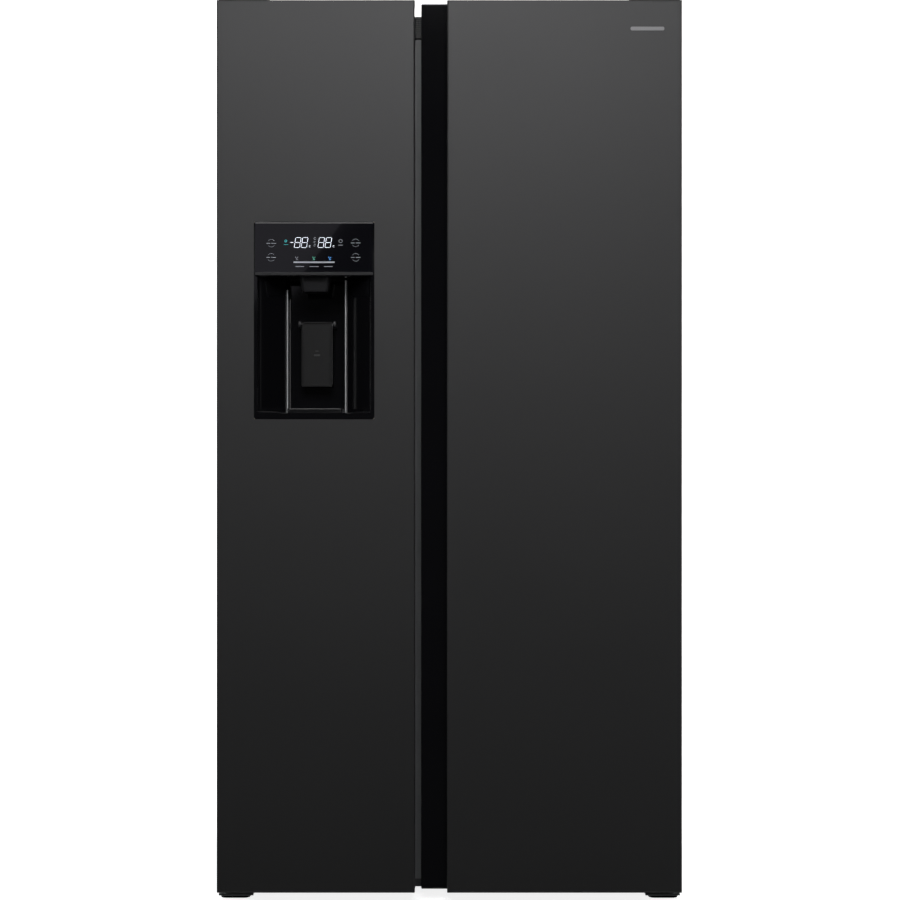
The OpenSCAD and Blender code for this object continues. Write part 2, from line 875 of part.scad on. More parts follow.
// Hollow of the raised rim, which the foam fills
module rim_core(rim_x) {
    difference() {
        block(inset(rim_x, liner_t), [door_back - liner_t, door_back + rim_h - liner_t], inset(rim_z, liner_t));
        pocket_shell(rim_x);
    }
}

module pocket_shell(rim_x) {
    block(inset(rim_x, rim_w - liner_t), [door_back - pocket_in - liner_t, door_back + rim_h + 1],
          inset(rim_z, rim_w - liner_t));
}

module door_fill(side, panel_u, back_u, rim_x) {
    difference() {
        on_door(side)
            translate([0, 0, fill_z[0]])
                linear_extrude(fill_z[1] - fill_z[0])
                    fill_outline(panel_u, back_u);
        pocket_shell(rim_x);
    }
    rim_core(rim_x);
}

// Inner liner of a door before the foam is taken out of it
module liner_shell(side, back_u, rim_x) {
    difference() {
        union() {
            on_door(side)
                block([panel_t, back_u - grip_wall], [door_back - liner_t, door_back], sheet_z);
            block(rim_x, [door_back - liner_t, door_back + rim_h], rim_z);
            block(inset(rim_x, rim_w - liner_t), [door_back - pocket_in - liner_t, door_back],
                  inset(rim_z, rim_w - liner_t));
        }
        block(inset(rim_x, rim_w), [door_back - pocket_in, door_back + rim_h + 1], inset(rim_z, rim_w));
        rim_core(rim_x);
    }
}

// Magnetic seal around the inner side of a door
module gasket(x) {
    y = [door_back, cab_front - 1.2 - free_gap];
    z = [inner_floor - 20, opening_top + 20];
    difference() {
        facing(x, y, z, 5);
        facing(inset(x, 16), [y[0] - 1, y[1] + 1], inset(z, 16), 2);
    }
}

module door_bins(x, levels) {
    for (z = levels)
        tub(x, bin_y, [z, z + bin_h], 10, tub_wall);
}

module dispenser_envelope() {
    facing([disp_left, disp_right], [front_y, housing_back], [disp_z, disp_top], 6);
}

module bulge_core() {
    difference() {
        block(inset(bulge_x, liner_t), [door_back - liner_t, bulge_back - liner_t], inset(bulge_z, liner_t));
        dispenser_envelope();
    }
}

// ---------------------------------------------------------------- freezer door

module freezer_door_panel() {
    color("#3f4042")
        difference() {
            on_door(-1)
                door_wrap(freezer_panel_u);
            dispenser_envelope();
        }
}

module freezer_fill() {
    difference() {
        union() {
            door_fill(-1, freezer_panel_u, freezer_back_u, freezer_rim);
            block(inset(bulge_x, liner_t), [door_back - pocket_in - liner_t, bulge_back - liner_t],
                  inset(bulge_z, liner_t));
        }
        dispenser_envelope();
    }
}

module freezer_door_foam() {
    color("#d9c48a")
        freezer_fill();
}

module freezer_door_liner() {
    color("#e6e9eb")
        difference() {
            union() {
                liner_shell(-1, freezer_back_u, freezer_rim);
                block(bulge_x, [door_back - pocket_in - liner_t, bulge_back], bulge_z);
            }
            freezer_fill();
            dispenser_envelope();
        }
}

module freezer_door_caps() {
    color("#242527")
        on_door(-1)
            end_caps(freezer_panel_u, freezer_back_u);
}

module freezer_door_grip() {
    color("#1c1d1f")
        on_door(-1)
            grip_profile(freezer_panel_u, freezer_back_u);
}

module freezer_door_gasket() {
    color("#8b8e91")
        gasket([-pin_x + 3.5, freezer_edge - 6.5]);
}

module freezer_door_bins() {
    color("#dfe9ee")
        door_bins(freezer_bin, freezer_bin_levels);
}

paddle_y = front_y + recess_d - 20;
paddle_z = control_z - 88;
ear_in = paddle_w / 2 + 1.5;
ear_out = ear_in + 5;

module recess() {
    half_front = disp_w / 2 - 8;
    half_back = recess_back_w / 2;
    translate([disp_x, front_y, recess_floor])
        linear_extrude(control_z - recess_floor)
            polygon([[-half_front, -1], [-half_front, 6], [-half_back, recess_side_d], [-half_back, recess_d],
                     [half_back, recess_d], [half_back, recess_side_d], [half_front, 6], [half_front, -1]]);
}

module dispenser_housing() {
    color("#101113") {
        difference() {
            dispenser_envelope();
            recess();
            block([disp_left + 1.5, disp_right - 1.5], [front_y - 1, front_y + 24], [control_z - 1, disp_top - 1.5]);
        }
        difference() {
            for (side = [-1, 1])
                translate([disp_x + side * (ear_in + ear_out) / 2, 0, 0])
                    block([-(ear_out - ear_in) / 2, (ear_out - ear_in) / 2], [paddle_y - 6, front_y + recess_d],
                          [paddle_z - 7, paddle_z + 7]);
            bar_x(disp_x - ear_out - 1, disp_x + ear_out + 1, paddle_y, paddle_z, 3 + running_gap);
        }
    }
}

module dispenser_panel() {
    color("#0c0d0f")
        facing([disp_left + 2, disp_right - 2], [front_y, front_y + 23.5], [control_z, disp_top - 2], 4);
}

module dispenser_nozzle() {
    top_w = 60;
    bottom_w = 50;
    drop = 28;
    module taper(w0, w1, h0, h1)
        polygon([[-w0 / 2, h0], [w0 / 2, h0], [w1 / 2, h1], [-w1 / 2, h1]]);
    color("#1e2022")
        translate([disp_x, front_y + 66, control_z])
            rotate([90, 0, 0])
                difference() {
                    linear_extrude(50)
                        taper(top_w, bottom_w, 0, -drop);
                    translate([0, 0, 4])
                        linear_extrude(42)
                            taper(top_w - 10, bottom_w - 10, -6, -drop - 1);
                }
}

module dispenser_rails() {
    color("#d8dbde")
        for (side = [-1, 1])
            translate([disp_x + side * (recess_back_w / 2 - 1.5), 0, 0])
                block([-1.5, 1.5], [front_y + recess_side_d, front_y + recess_side_d + 4],
                      [recess_floor, control_z]);
}

module dispenser_paddle() {
    color("#2a2c2f") {
        facing([disp_x - paddle_w / 2, disp_x + paddle_w / 2], [paddle_y - 9, paddle_y - 6],
               [paddle_z + 5 - paddle_h, paddle_z + 5], 5);
        block([disp_x - 20, disp_x + 20], [paddle_y - 6, paddle_y], [paddle_z - 3, paddle_z + 3]);
        bar_x(disp_x - ear_out, disp_x + ear_out, paddle_y, paddle_z, 3);
    }
}

module drip_tray() {
    x = [disp_x - recess_back_w / 2 + 5, disp_x + recess_back_w / 2 - 5];
    y = [front_y + 14, front_y + recess_d - 4];
    z = [recess_floor + free_gap, recess_floor + 10];
    bars = 9;
    pitch = (x[1] - x[0] - 12) / bars;
    color("#222427")
        difference() {
            upright(x, y, z, 6);
            for (i = [0:bars - 1])
                block([x[0] + 6 + i * pitch + 1.5, x[0] + 6 + (i + 1) * pitch - 1.5], [y[0] + 8, y[1] - 8],
                      [z[0] + 2, z[1] + 1]);
        }
}

bucket_x = freezer_bin;
bucket_z = [bulge_z[1] + bucket_gap, bucket_top];
auger_y = (bin_y[0] + bin_y[1]) / 2;
auger_z = bucket_z[0] + 52;

module ice_bucket() {
    color("#dfe9ee")
        difference() {
            tub(bucket_x, bin_y, bucket_z, 10, tub_wall);
            bar_x(bucket_x[0] + 0.5, bucket_x[1] - 0.5, auger_y, auger_z, 4 + running_gap);
        }
}

module ice_auger() {
    arms = 6;
    x = [bucket_x[0] + 1, bucket_x[1] - 1];
    pitch = (x[1] - x[0] - 40) / (arms - 1);
    color("#b9bdc0") {
        bar_x(x[0], x[1], auger_y, auger_z, 4);
        for (i = [0:arms - 1])
            translate([x[0] + 20 + i * pitch, auger_y, auger_z])
                rotate([i * 60, 0, 0])
                    block([-2, 2], [-6, 6], [-38, 38]);
    }
}

// ---------------------------------------------------------------- fridge door

module fridge_door_panel() {
    color("#3f4042")
        on_door(1)
            door_wrap(fridge_panel_u);
}

module fridge_door_foam() {
    color("#d9c48a")
        door_fill(1, fridge_panel_u, fridge_back_u, fridge_rim);
}

module fridge_door_liner() {
    color("#e6e9eb")
        liner_shell(1, fridge_back_u, fridge_rim);
}

module fridge_door_caps() {
    color("#242527")
        on_door(1)
            end_caps(fridge_panel_u, fridge_back_u);
}

module fridge_door_grip() {
    color("#0e0f11")
        on_door(1)
            grip_profile(fridge_panel_u, fridge_back_u);
}

module fridge_door_gasket() {
    color("#8b8e91")
        gasket([fridge_edge + 6.5, pin_x - 3.5]);
}

lid_pin_r = 3;
lid_y = bin_y[1] - 8;
lid_z = dairy_z[1];
cheek_t = 3;

module fridge_door_bins() {
    x = fridge_bin;
    color("#dfe9ee") {
        door_bins(x, fridge_bin_levels);
        tub(x, bin_y, [dairy_z[0], dairy_z[0] + 50], 10, tub_wall);
        difference() {
            for (edge = [x[0], x[1] - cheek_t])
                block([edge, edge + cheek_t], inset(bin_y, 10), [dairy_z[0] + 50, dairy_z[1] + 8]);
            bar_x(x[0] - 1, x[1] + 1, lid_y - 10, lid_z, lid_pin_r + running_gap);
        }
    }
}

module dairy_lid() {
    x = inset(fridge_bin, cheek_t + 0.5);
    plate_t = 3;
    color("#e8f0f4") {
        bar_x(fridge_bin[0] + 0.5, fridge_bin[1] - 0.5, lid_y - 10, lid_z, lid_pin_r);
        block(x, [lid_y - 10, bin_y[1] + plate_t + 0.5], [lid_z - 1.5, lid_z + 1.5]);
        block(x, [bin_y[1] + 0.5, bin_y[1] + plate_t + 0.5], [dairy_z[0] + 14, lid_z + 1.5]);
    }
}

side_panels();
top_panel();
back_panel();
base_frame();
cabinet_foam();
freezer_liner();
fridge_liner();
mullion_cover();
header_cover();
machine_cover();
compressor();
condenser();
drain_pan();
fan_shroud();
condenser_fan();
evaporator();
freezer_duct_cover();
evaporator_fan();
fridge_duct_cover();
cabinet_lamps();
ice_maker();
freezer_shelves();
freezer_drawer_upper();
freezer_drawer_lower();
fridge_shelves();
crisper_upper();
crisper_lower();
top_hinges();
bottom_hinges();
hinge_covers();
leveller_left();
leveller_right();
roller_left();
roller_right();
wall_spacers();
water_inlet();
cord_gland();
freezer_door_panel();
freezer_door_foam();
freezer_door_liner();
freezer_door_caps();
freezer_door_grip();
freezer_door_gasket();
freezer_door_bins();
dispenser_housing();
dispenser_panel();
dispenser_nozzle();
dispenser_rails();
dispenser_paddle();
drip_tray();
ice_bucket();
ice_auger();
fridge_door_panel();
fridge_door_foam();
fridge_door_liner();
fridge_door_caps();
fridge_door_grip();
fridge_door_gasket();
fridge_door_bins();
dairy_lid();
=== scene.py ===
"""Looks of a side by side refrigerator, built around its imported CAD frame.

Every sub-assembly is a class: its fields are its sizes in metres, and its methods build and dress its pieces.
New pieces are surfaces worked out with numpy, as rounded sections stacked along an axis, as an outline
carried along an axis, or as circles stacked along an axis. Places come from the CAD nodes' boxes.
"""

import sys

import json
import logging
import math
from dataclasses import dataclass
from enum import Enum
from typing import Sequence

import bmesh
import bpy
import numpy as np
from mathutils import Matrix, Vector
from numpy.typing import NDArray

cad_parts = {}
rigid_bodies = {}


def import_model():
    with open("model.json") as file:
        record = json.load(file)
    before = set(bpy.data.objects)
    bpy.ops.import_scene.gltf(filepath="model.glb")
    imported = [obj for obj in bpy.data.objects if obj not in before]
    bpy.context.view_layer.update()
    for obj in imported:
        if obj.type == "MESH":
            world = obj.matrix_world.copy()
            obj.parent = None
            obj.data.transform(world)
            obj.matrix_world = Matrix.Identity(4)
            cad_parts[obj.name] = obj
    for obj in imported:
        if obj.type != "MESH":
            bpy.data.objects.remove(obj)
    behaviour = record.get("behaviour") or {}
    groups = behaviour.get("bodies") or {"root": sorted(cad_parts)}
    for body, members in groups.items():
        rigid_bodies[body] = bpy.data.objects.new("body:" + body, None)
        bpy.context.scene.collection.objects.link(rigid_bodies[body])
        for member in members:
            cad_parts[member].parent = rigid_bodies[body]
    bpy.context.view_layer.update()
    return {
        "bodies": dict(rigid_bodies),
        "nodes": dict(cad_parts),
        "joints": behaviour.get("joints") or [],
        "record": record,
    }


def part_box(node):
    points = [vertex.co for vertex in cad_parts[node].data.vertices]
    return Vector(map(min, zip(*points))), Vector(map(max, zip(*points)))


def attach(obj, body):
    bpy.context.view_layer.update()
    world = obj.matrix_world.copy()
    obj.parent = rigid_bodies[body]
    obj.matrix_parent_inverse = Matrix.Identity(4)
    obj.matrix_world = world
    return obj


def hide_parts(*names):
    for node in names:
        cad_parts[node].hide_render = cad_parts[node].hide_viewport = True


Array = NDArray[np.float64]
Color = tuple[float, float, float]
Span = tuple[float, float]
MM = 0.001
RIM_HEIGHT = 48 * MM
BULGE_FRONT = -0.2785
BULGE_MARGIN = 14 * MM
BULGE_REACH = 18 * MM
BIN_HEIGHT = 110 * MM
BIN_PITCH = 232 * MM
DAIRY_TRAY_DROP = 14 * MM
DAIRY_TRAY_HEIGHT = 50 * MM
log = logging.getLogger("refrigerator")


class Axis(Enum):
    """Axis that sections are stacked along, followed by the two axes of a section."""

    X = (0, 1, 2)
    Y = (1, 0, 2)
    Z = (2, 0, 1)


class Side(Enum):
    """Side of the cabinet that a piece belongs to, as the sign of X."""

    LEFT = -1.0
    RIGHT = 1.0


# ---------------------------------------------------------------- surfaces


def soften_line(points: Array, radius: float, steps: int = 4) -> Array:
    """Rounds every inner corner of a polyline.

    A corner C becomes the curve (1-t)^2 A + 2t(1-t) C + t^2 B, where A and B lie on its two edges at
    the radius from C, or at 45 per cent of the shorter edge if that is less.

    Args:
        points: The polyline, one point a row, in any number of dimensions.
        radius: Distance from a corner at which the curve starts.
        steps: Number of pieces that each curve is cut into.

    Returns:
        The rounded polyline.
    """
    edges = np.diff(points, axis=0)
    length = np.linalg.norm(edges, axis=1, keepdims=True)
    unit = edges / length
    reach = np.minimum(radius, 0.45 * np.minimum(length[:-1], length[1:]))
    corner = points[1:-1]
    first, last = corner - unit[:-1] * reach, corner + unit[1:] * reach
    t = np.linspace(0, 1, steps + 1)[None, :, None]
    arc = (1 - t) ** 2 * first[:, None] + 2 * t * (1 - t) * corner[:, None] + t**2 * last[:, None]
    return np.vstack([points[:1], arc.reshape(-1, points.shape[1]), points[-1:]])


def soften_outline(points: Array, radius: float, steps: int = 4) -> Array:
    """Rounds every corner of a closed outline, in the way of soften_line.

    Args:
        points: The outline without its first point repeated.
        radius: Distance from a corner at which the curve starts.
        steps: Number of pieces that each curve is cut into.

    Returns:
        The rounded outline, again without a repeated point.
    """
    ring = np.vstack([points[-1:], points, points[:1]])
    return soften_line(ring, radius, steps)[1:-1]


def rounded_sections(rows: Array, axis: Axis, steps: int = 5) -> Array:
    """Rounded rectangles stacked along an axis.

    Each corner is a quarter circle: its centre plus radius times (cos t, sin t), with t over that
    quarter turn.

    Args:
        rows: One section a row: low and high limit on the first axis, low and high limit on the second axis,
            corner radius, and place along the stacking axis.
        axis: The stacking axis.
        steps: Number of pieces that each corner is cut into.

    Returns:
        Points of shape (sections, points in a section, 3).
    """
    quarter = np.repeat(np.arange(4), steps + 1)
    turn = np.radians(quarter * 90 + np.tile(np.linspace(0, 90, steps + 1), 4))
    right, upper = np.isin(quarter, (0, 3)), np.isin(quarter, (0, 1))
    a_low, a_high, b_low, b_high, radius, place = (column[:, None] for column in np.asarray(rows, float).T)
    radius = np.minimum(radius, np.minimum(a_high - a_low, b_high - b_low) / 2)
    main, first, second = axis.value
    points = np.empty((len(rows), len(turn), 3))
    points[..., main] = place
    points[..., first] = np.where(right, a_high - radius, a_low + radius) + radius * np.cos(turn)
    points[..., second] = np.where(upper, b_high - radius, b_low + radius) + radius * np.sin(turn)
    return points


def box_rows(low: Sequence[float], high: Sequence[float], axis: Axis, profile: Array, radius: float) -> Array:
    """Rows for rounded_sections that follow a profile of (place along the axis, inset from the box).

    Args:
        low: Lowest corner of the box.
        high: Highest corner of the box.
        axis: The stacking axis.
        profile: Place and inset of every section.
        radius: Corner radius where the inset is nought; it shrinks with the inset.

    Returns:
        One row for every point of the profile.
    """
    _, a, b = axis.value
    place, inset = np.asarray(profile, float).T
    corner = np.maximum(radius - inset, 0.3 * MM)
    return np.column_stack(
        [low[a] + inset, high[a] - inset, low[b] + inset, high[b] - inset, corner, place]
    )


def slab_profile(low: float, high: float, edge: float, steps: int = 3) -> Array:
    """Profile of a plate with rounded rims: quarter circles of the edge radius at both ends.

    Args:
        low: Where the plate starts along the axis.
        high: Where it ends.
        edge: Radius of the rim.
        steps: Number of pieces in each quarter circle.

    Returns:
        Rows of place and inset.
    """
    t = np.linspace(0, np.pi / 2, steps + 1)
    start = np.column_stack([low + edge * (1 - np.cos(t)), edge * (1 - np.sin(t))])
    end = np.column_stack([high - edge * (1 - np.cos(t)), edge * (1 - np.sin(t))])[::-1]
    return np.vstack([start, end])


def tub_profile(low: float, high: float, wall: float, edge: float) -> Array:
    """Profile of an open box: up the outer wall, over the rounded rim and down the inner wall to the floor.

    Args:
        low: Outer bottom along the axis.
        high: The rim.
        wall: Wall thickness.
        edge: Radius of the outer bottom edge; the inner one is a wall smaller.

    Returns:
        Rows of place and inset.
    """
    corners = np.array(
        [[low, edge * 1.5], [low, 0.0], [high, 0.0], [high, wall], [low + wall, wall],
         [low + wall, wall + edge * 1.5]]
    )
    outer = soften_line(corners[:3], edge)
    rim = soften_line(corners[1:5], wall * 0.45, 3)[1:-1]
    inner = soften_line(corners[3:], edge)
    return np.vstack([outer[:-1], rim, inner[1:]])


def offset_outline(outline: Array, inset: float) -> Array:
    """Moves a closed outline inwards: every point goes along its mitre, which is the sum of the normals of
    its two edges over one plus their dot product.

    Args:
        outline: Points in either order.
        inset: Distance inwards.

    Returns:
        The moved outline.
    """
    before, after = outline - np.roll(outline, 1, 0), np.roll(outline, -1, 0) - outline
    area = np.sum(outline[:, 0] * np.roll(outline[:, 1], -1) - np.roll(outline[:, 0], -1) * outline[:, 1])
    turn = np.array([[0.0, 1.0], [-1.0, 0.0]]) * np.sign(area)
    first = before / np.linalg.norm(before, axis=1, keepdims=True) @ turn
    second = after / np.linalg.norm(after, axis=1, keepdims=True) @ turn
    mitre = (first + second) / np.maximum(1 + np.sum(first * second, axis=1, keepdims=True), 0.2)
    return outline + inset * mitre


def outline_sections(outline: Array, axis: Axis, profile: Array) -> Array:
    """An outline carried along an axis, moved inwards by the profile's inset at each place.

    Args:
        outline: Closed outline on the axis' two section axes.
        axis: The stacking axis.
        profile: Rows of place and inset.

    Returns:
        Points of shape (places, outline points, 3).
    """
    main, first, second = axis.value
    points = np.empty((len(profile), len(outline), 3))
    points[..., main] = np.asarray(profile)[:, :1]
    flat = np.stack([offset_outline(outline, inset) for _, inset in profile])
    points[..., first], points[..., second] = flat[..., 0], flat[..., 1]
    return points


def round_sections(centre: Sequence[float], axis: Axis, profile: Array, sides: int = 32) -> Array:
    """A profile turned about an axis: each row gives a circle of that radius at that place.

    Args:
        centre: A point on the axis.
        axis: The axis.
        profile: Rows of place along the axis, from the centre, and radius.
        sides: Points in each circle.

    Returns:
        Points of shape (rows, sides, 3).
    """
    main, first, second = axis.value
    turn = np.linspace(0, 2 * np.pi, sides, endpoint=False)
    place, radius = np.asarray(profile, float).T[:, :, None]
    points = np.empty((len(profile), sides, 3))
    points[..., main] = centre[main] + place
    points[..., first] = centre[first] + radius * np.cos(turn)
    points[..., second] = centre[second] + radius * np.sin(turn)
    return points


class Surface:
    """Shells gathered into one mesh."""

    def __init__(self) -> None:
        """Starts with no shells."""
        self.points: list[Array] = []
        self.faces: list[list[int]] = []
        self.count = 0

    def shell(self, sections: Array, ring: bool = False) -> "Surface":
        """Adds a closed shell: sections joined by four-sided faces, with its faces turned outwards.

        Point j of section i is joined to point j+1 and to section i+1, both counted round. The faces are
        reversed if the shell's volume, the sum of a . (b x c) / 6 over its triangles, comes out negative.

        Args:
            sections: Points of shape (sections, points in a section, 3).
            ring: Joins the last section to the first; otherwise each end is closed with a face.

        Returns:
            This surface.
        """
        rows, columns = sections.shape[:2]
        i = np.arange(rows if ring else rows - 1)[:, None]
        j = np.arange(columns)[None, :]
        far, next_j = (i + 1) % rows, (j + 1) % columns
        corners = [i * columns + j, i * columns + next_j, far * columns + next_j, far * columns + j]
        quads = np.stack(np.broadcast_arrays(*corners), axis=-1).reshape(-1, 4)
        ends = [] if ring else [np.arange(columns)[::-1], np.arange(columns) + (rows - 1) * columns]
        fans = [np.column_stack([np.full(columns - 2, end[0]), end[1:-1], end[2:]]) for end in ends]
        triangles = np.vstack([quads[:, [0, 1, 2]], quads[:, [0, 2, 3]], *fans])
        flat = sections.reshape(-1, 3)
        a, b, c = (flat[triangles[:, k]] - flat[0] for k in range(3))
        turn = -1 if np.sum(a * np.cross(b, c)) < 0 else 1
        self.faces += (quads[:, ::turn] + self.count).tolist()
        self.faces += [(end[::turn] + self.count).tolist() for end in ends]
        self.points.append(flat)
        self.count += rows * columns
        return self

    def slab(
        self,
        low: Sequence[float],
        high: Sequence[float],
        axis: Axis,
        radius: float,
        edge: float,
        steps: int = 4,
    ) -> "Surface":
        """Adds a plate with rounded corners and rims.

        Args:
            low: Lowest corner.
            high: Highest corner.
            axis: The axis its corners turn about.
            radius: Corner radius.
            edge: Rim radius.
            steps: Pieces in each corner.

        Returns:
            This surface.
        """
        profile = slab_profile(low[axis.value[0]], high[axis.value[0]], edge)
        return self.shell(rounded_sections(box_rows(low, high, axis, profile, radius), axis, steps))

    def tub(
        self, low: Sequence[float], high: Sequence[float], radius: float, wall: float, edge: float
    ) -> "Surface":
        """Adds a box that is open at the top; see tub_profile."""
        profile = tub_profile(low[2], high[2], wall, edge)
        return self.shell(rounded_sections(box_rows(low, high, Axis.Z, profile, radius), Axis.Z))

    def open_grid(self, points: Array, keep: NDArray[np.bool_]) -> "Surface":
        """Adds an open sheet: point (i, j) of the grid is joined to (i+1, j) and (i, j+1) in each kept cell.

        Args:
            points: Grid of shape (rows, columns, 3).
            keep: True for each cell that has a face, of shape (rows - 1, columns - 1).

        Returns:
            This surface.
        """
        rows, columns = points.shape[:2]
        i, j = np.nonzero(keep)
        start = i * columns + j + self.count
        self.faces += np.stack([start, start + 1, start + columns + 1, start + columns], axis=-1).tolist()
        self.points.append(points.reshape(-1, 3))
        self.count += rows * columns
        return self

    def build(self, name: str) -> bpy.types.Object:
        """Makes the object, with its curved parts smooth and its flat parts shaded flat.

        Args:
            name: Name of the object.

        Returns:
            The new object, at the origin.
        """
        mesh = bpy.data.meshes.new(name)
        mesh.from_pydata(np.vstack(self.points).tolist(), [], self.faces)
        work = bmesh.new()
        work.from_mesh(mesh)
        bmesh.ops.delete(work, geom=[v for v in work.verts if not v.link_faces], context="VERTS")
        work.to_mesh(mesh)
        work.free()
        mesh.shade_smooth()
        mesh.set_sharp_from_angle(angle=math.radians(38))
        obj = bpy.data.objects.new(name, mesh)
        bpy.context.scene.collection.objects.link(obj)
        return obj


def flatten(obj: bpy.types.Object) -> bpy.types.Object:
    """Adds a modifier that weighs normals by face area, so that flats stay flat beside rounded edges."""
    normals = obj.modifiers.new("flats", "WEIGHTED_NORMAL")
    normals.keep_sharp, normals.weight = True, 100
    return obj


# ---------------------------------------------------------------- finishes


class Effects:
    """Shader node groups that the finishes share. Each is built once, on its first use."""

    @staticmethod
    def _new(
        name: str, inputs: Sequence[tuple[str, str, float | Color]], outputs: Sequence[tuple[str, str]]
    ) -> tuple[bpy.types.ShaderNodeTree, bpy.types.Node, bpy.types.Node]:
        """Makes a group with its sockets.

        Args:
            name: Name of the group.
            inputs: Name, kind and default of each input; a vector has no default.
            outputs: Name and kind of each output.

        Returns:
            The group, its input node and its output node.
        """
        tree = bpy.data.node_groups.new(name, "ShaderNodeTree")
        for label, kind, default in inputs:
            socket = tree.interface.new_socket(name=label, in_out="INPUT", socket_type=f"NodeSocket{kind}")
            if kind == "Float":
                socket.default_value = default
            elif kind == "Color":
                socket.default_value = (*default, 1.0)
        for label, kind in outputs:
            tree.interface.new_socket(name=label, in_out="OUTPUT", socket_type=f"NodeSocket{kind}")
        return tree, tree.nodes.new("NodeGroupInput"), tree.nodes.new("NodeGroupOutput")

    @staticmethod
    def _math(tree: bpy.types.ShaderNodeTree, operation: str,
              *values: float | bpy.types.NodeSocket) -> bpy.types.NodeSocket:
        """Adds a Math node whose inputs are numbers or sockets, and returns its output."""
        node = tree.nodes.new("ShaderNodeMath")
        node.operation = operation
        for socket, value in zip(node.inputs, values):
            if isinstance(value, (int, float)):
                socket.default_value = value
            else:
                tree.links.new(value, socket)
        return node.outputs[0]

    @staticmethod
    def _noise(
        tree: bpy.types.ShaderNodeTree,
        vector: bpy.types.NodeSocket,
        scale: bpy.types.NodeSocket | float,
        detail: float,
    ) -> bpy.types.NodeSocket:
        """Adds a noise texture and returns its value."""
        node = tree.nodes.new("ShaderNodeTexNoise")
        node.inputs["Detail"].default_value = detail
        tree.links.new(vector, node.inputs["Vector"])
        if isinstance(scale, float):
            node.inputs["Scale"].default_value = scale
        else:
            tree.links.new(scale, node.inputs["Scale"])
        return node.outputs[0]

    @classmethod
    def tone(cls) -> bpy.types.ShaderNodeTree:
        """Colour that drifts lighter and darker: colour times 1 + amount (noise - 0.5)."""
        name = "tone_drift"
        if name in bpy.data.node_groups:
            return bpy.data.node_groups[name]
        tree, start, end = cls._new(
            name,
            [("Vector", "Vector", 0.0), ("Color", "Color", (0.5, 0.5, 0.5)), ("Scale", "Float", 6.0),
             ("Amount", "Float", 0.1)],
            [("Color", "Color")],
        )
        noise = cls._noise(tree, start.outputs["Vector"], start.outputs["Scale"], 4.0)
        centred = cls._math(tree, "SUBTRACT", noise, 0.5)
        gain = cls._math(tree, "MULTIPLY_ADD", centred, start.outputs["Amount"], 1.0)
        scale = tree.nodes.new("ShaderNodeVectorMath")
        scale.operation = "SCALE"
        tree.links.new(start.outputs["Color"], scale.inputs[0])
        tree.links.new(gain, scale.inputs["Scale"])
        tree.links.new(scale.outputs[0], end.inputs["Color"])
        return tree

    @classmethod
    def handling(cls) -> bpy.types.ShaderNodeTree:
        """Roughness with broad wipe marks and fine specks: roughness + amount times two noises."""
        name = "handling_marks"
        if name in bpy.data.node_groups:
            return bpy.data.node_groups[name]
        tree, start, end = cls._new(
            name,
            [("Vector", "Vector", 0.0), ("Roughness", "Float", 0.4), ("Scale", "Float", 7.0),
             ("Amount", "Float", 0.1)],
            [("Roughness", "Float")],
        )
        broad = cls._noise(tree, start.outputs["Vector"], start.outputs["Scale"], 3.0)
        fine_scale = cls._math(tree, "MULTIPLY", start.outputs["Scale"], 22.0)
        fine = cls._noise(tree, start.outputs["Vector"], fine_scale, 2.0)
        both = cls._math(tree, "MULTIPLY_ADD", fine, 0.35, broad)
        centred = cls._math(tree, "SUBTRACT", both, 0.67)
        value = cls._math(tree, "MULTIPLY_ADD", centred, start.outputs["Amount"], start.outputs["Roughness"])
        tree.links.new(value, end.inputs["Roughness"])
        return tree

    @classmethod
    def grain(cls) -> bpy.types.ShaderNodeTree:
        """Height of a fine grain, stretched along one axis for brushed metal: noise of a scaled vector."""
        name = "fine_grain"
        if name in bpy.data.node_groups:
            return bpy.data.node_groups[name]
        tree, start, end = cls._new(
            name,
            [("Vector", "Vector", 0.0), ("Stretch", "Vector", 0.0), ("Scale", "Float", 900.0)],
            [("Height", "Float")],
        )
        stretch = tree.nodes.new("ShaderNodeVectorMath")
        stretch.operation = "MULTIPLY"
        tree.links.new(start.outputs["Vector"], stretch.inputs[0])
        tree.links.new(start.outputs["Stretch"], stretch.inputs[1])
        noise = cls._noise(tree, stretch.outputs[0], start.outputs["Scale"], 3.0)
        tree.links.new(noise, end.inputs["Height"])
        return tree

    @classmethod
    def dust(cls) -> bpy.types.ShaderNodeTree:
        """Dust that settles on what faces up: amount times noise times the normal's upward share, cubed."""
        name = "settled_dust"
        if name in bpy.data.node_groups:
            return bpy.data.node_groups[name]
        tree, start, end = cls._new(
            name,
            [("Vector", "Vector", 0.0), ("Color", "Color", (0.5, 0.5, 0.5)), ("Amount", "Float", 0.2)],
            [("Color", "Color")],
        )
        geometry = tree.nodes.new("ShaderNodeNewGeometry")
        split = tree.nodes.new("ShaderNodeSeparateXYZ")
        tree.links.new(geometry.outputs["Normal"], split.inputs[0])
        upward = cls._math(tree, "POWER", cls._math(tree, "MAXIMUM", split.outputs[2], 0.0), 3.0)
        speck = cls._noise(tree, start.outputs["Vector"], 60.0, 5.0)
        share = cls._math(tree, "MULTIPLY", cls._math(tree, "MULTIPLY", upward, speck),
                          start.outputs["Amount"])
        mix = tree.nodes.new("ShaderNodeMix")
        mix.data_type = "RGBA"
        mix.inputs["B"].default_value = (0.42, 0.4, 0.37, 1.0)
        tree.links.new(share, mix.inputs["Factor"])
        tree.links.new(start.outputs["Color"], mix.inputs["A"])
        tree.links.new(mix.outputs["Result"], end.inputs["Color"])
        return tree


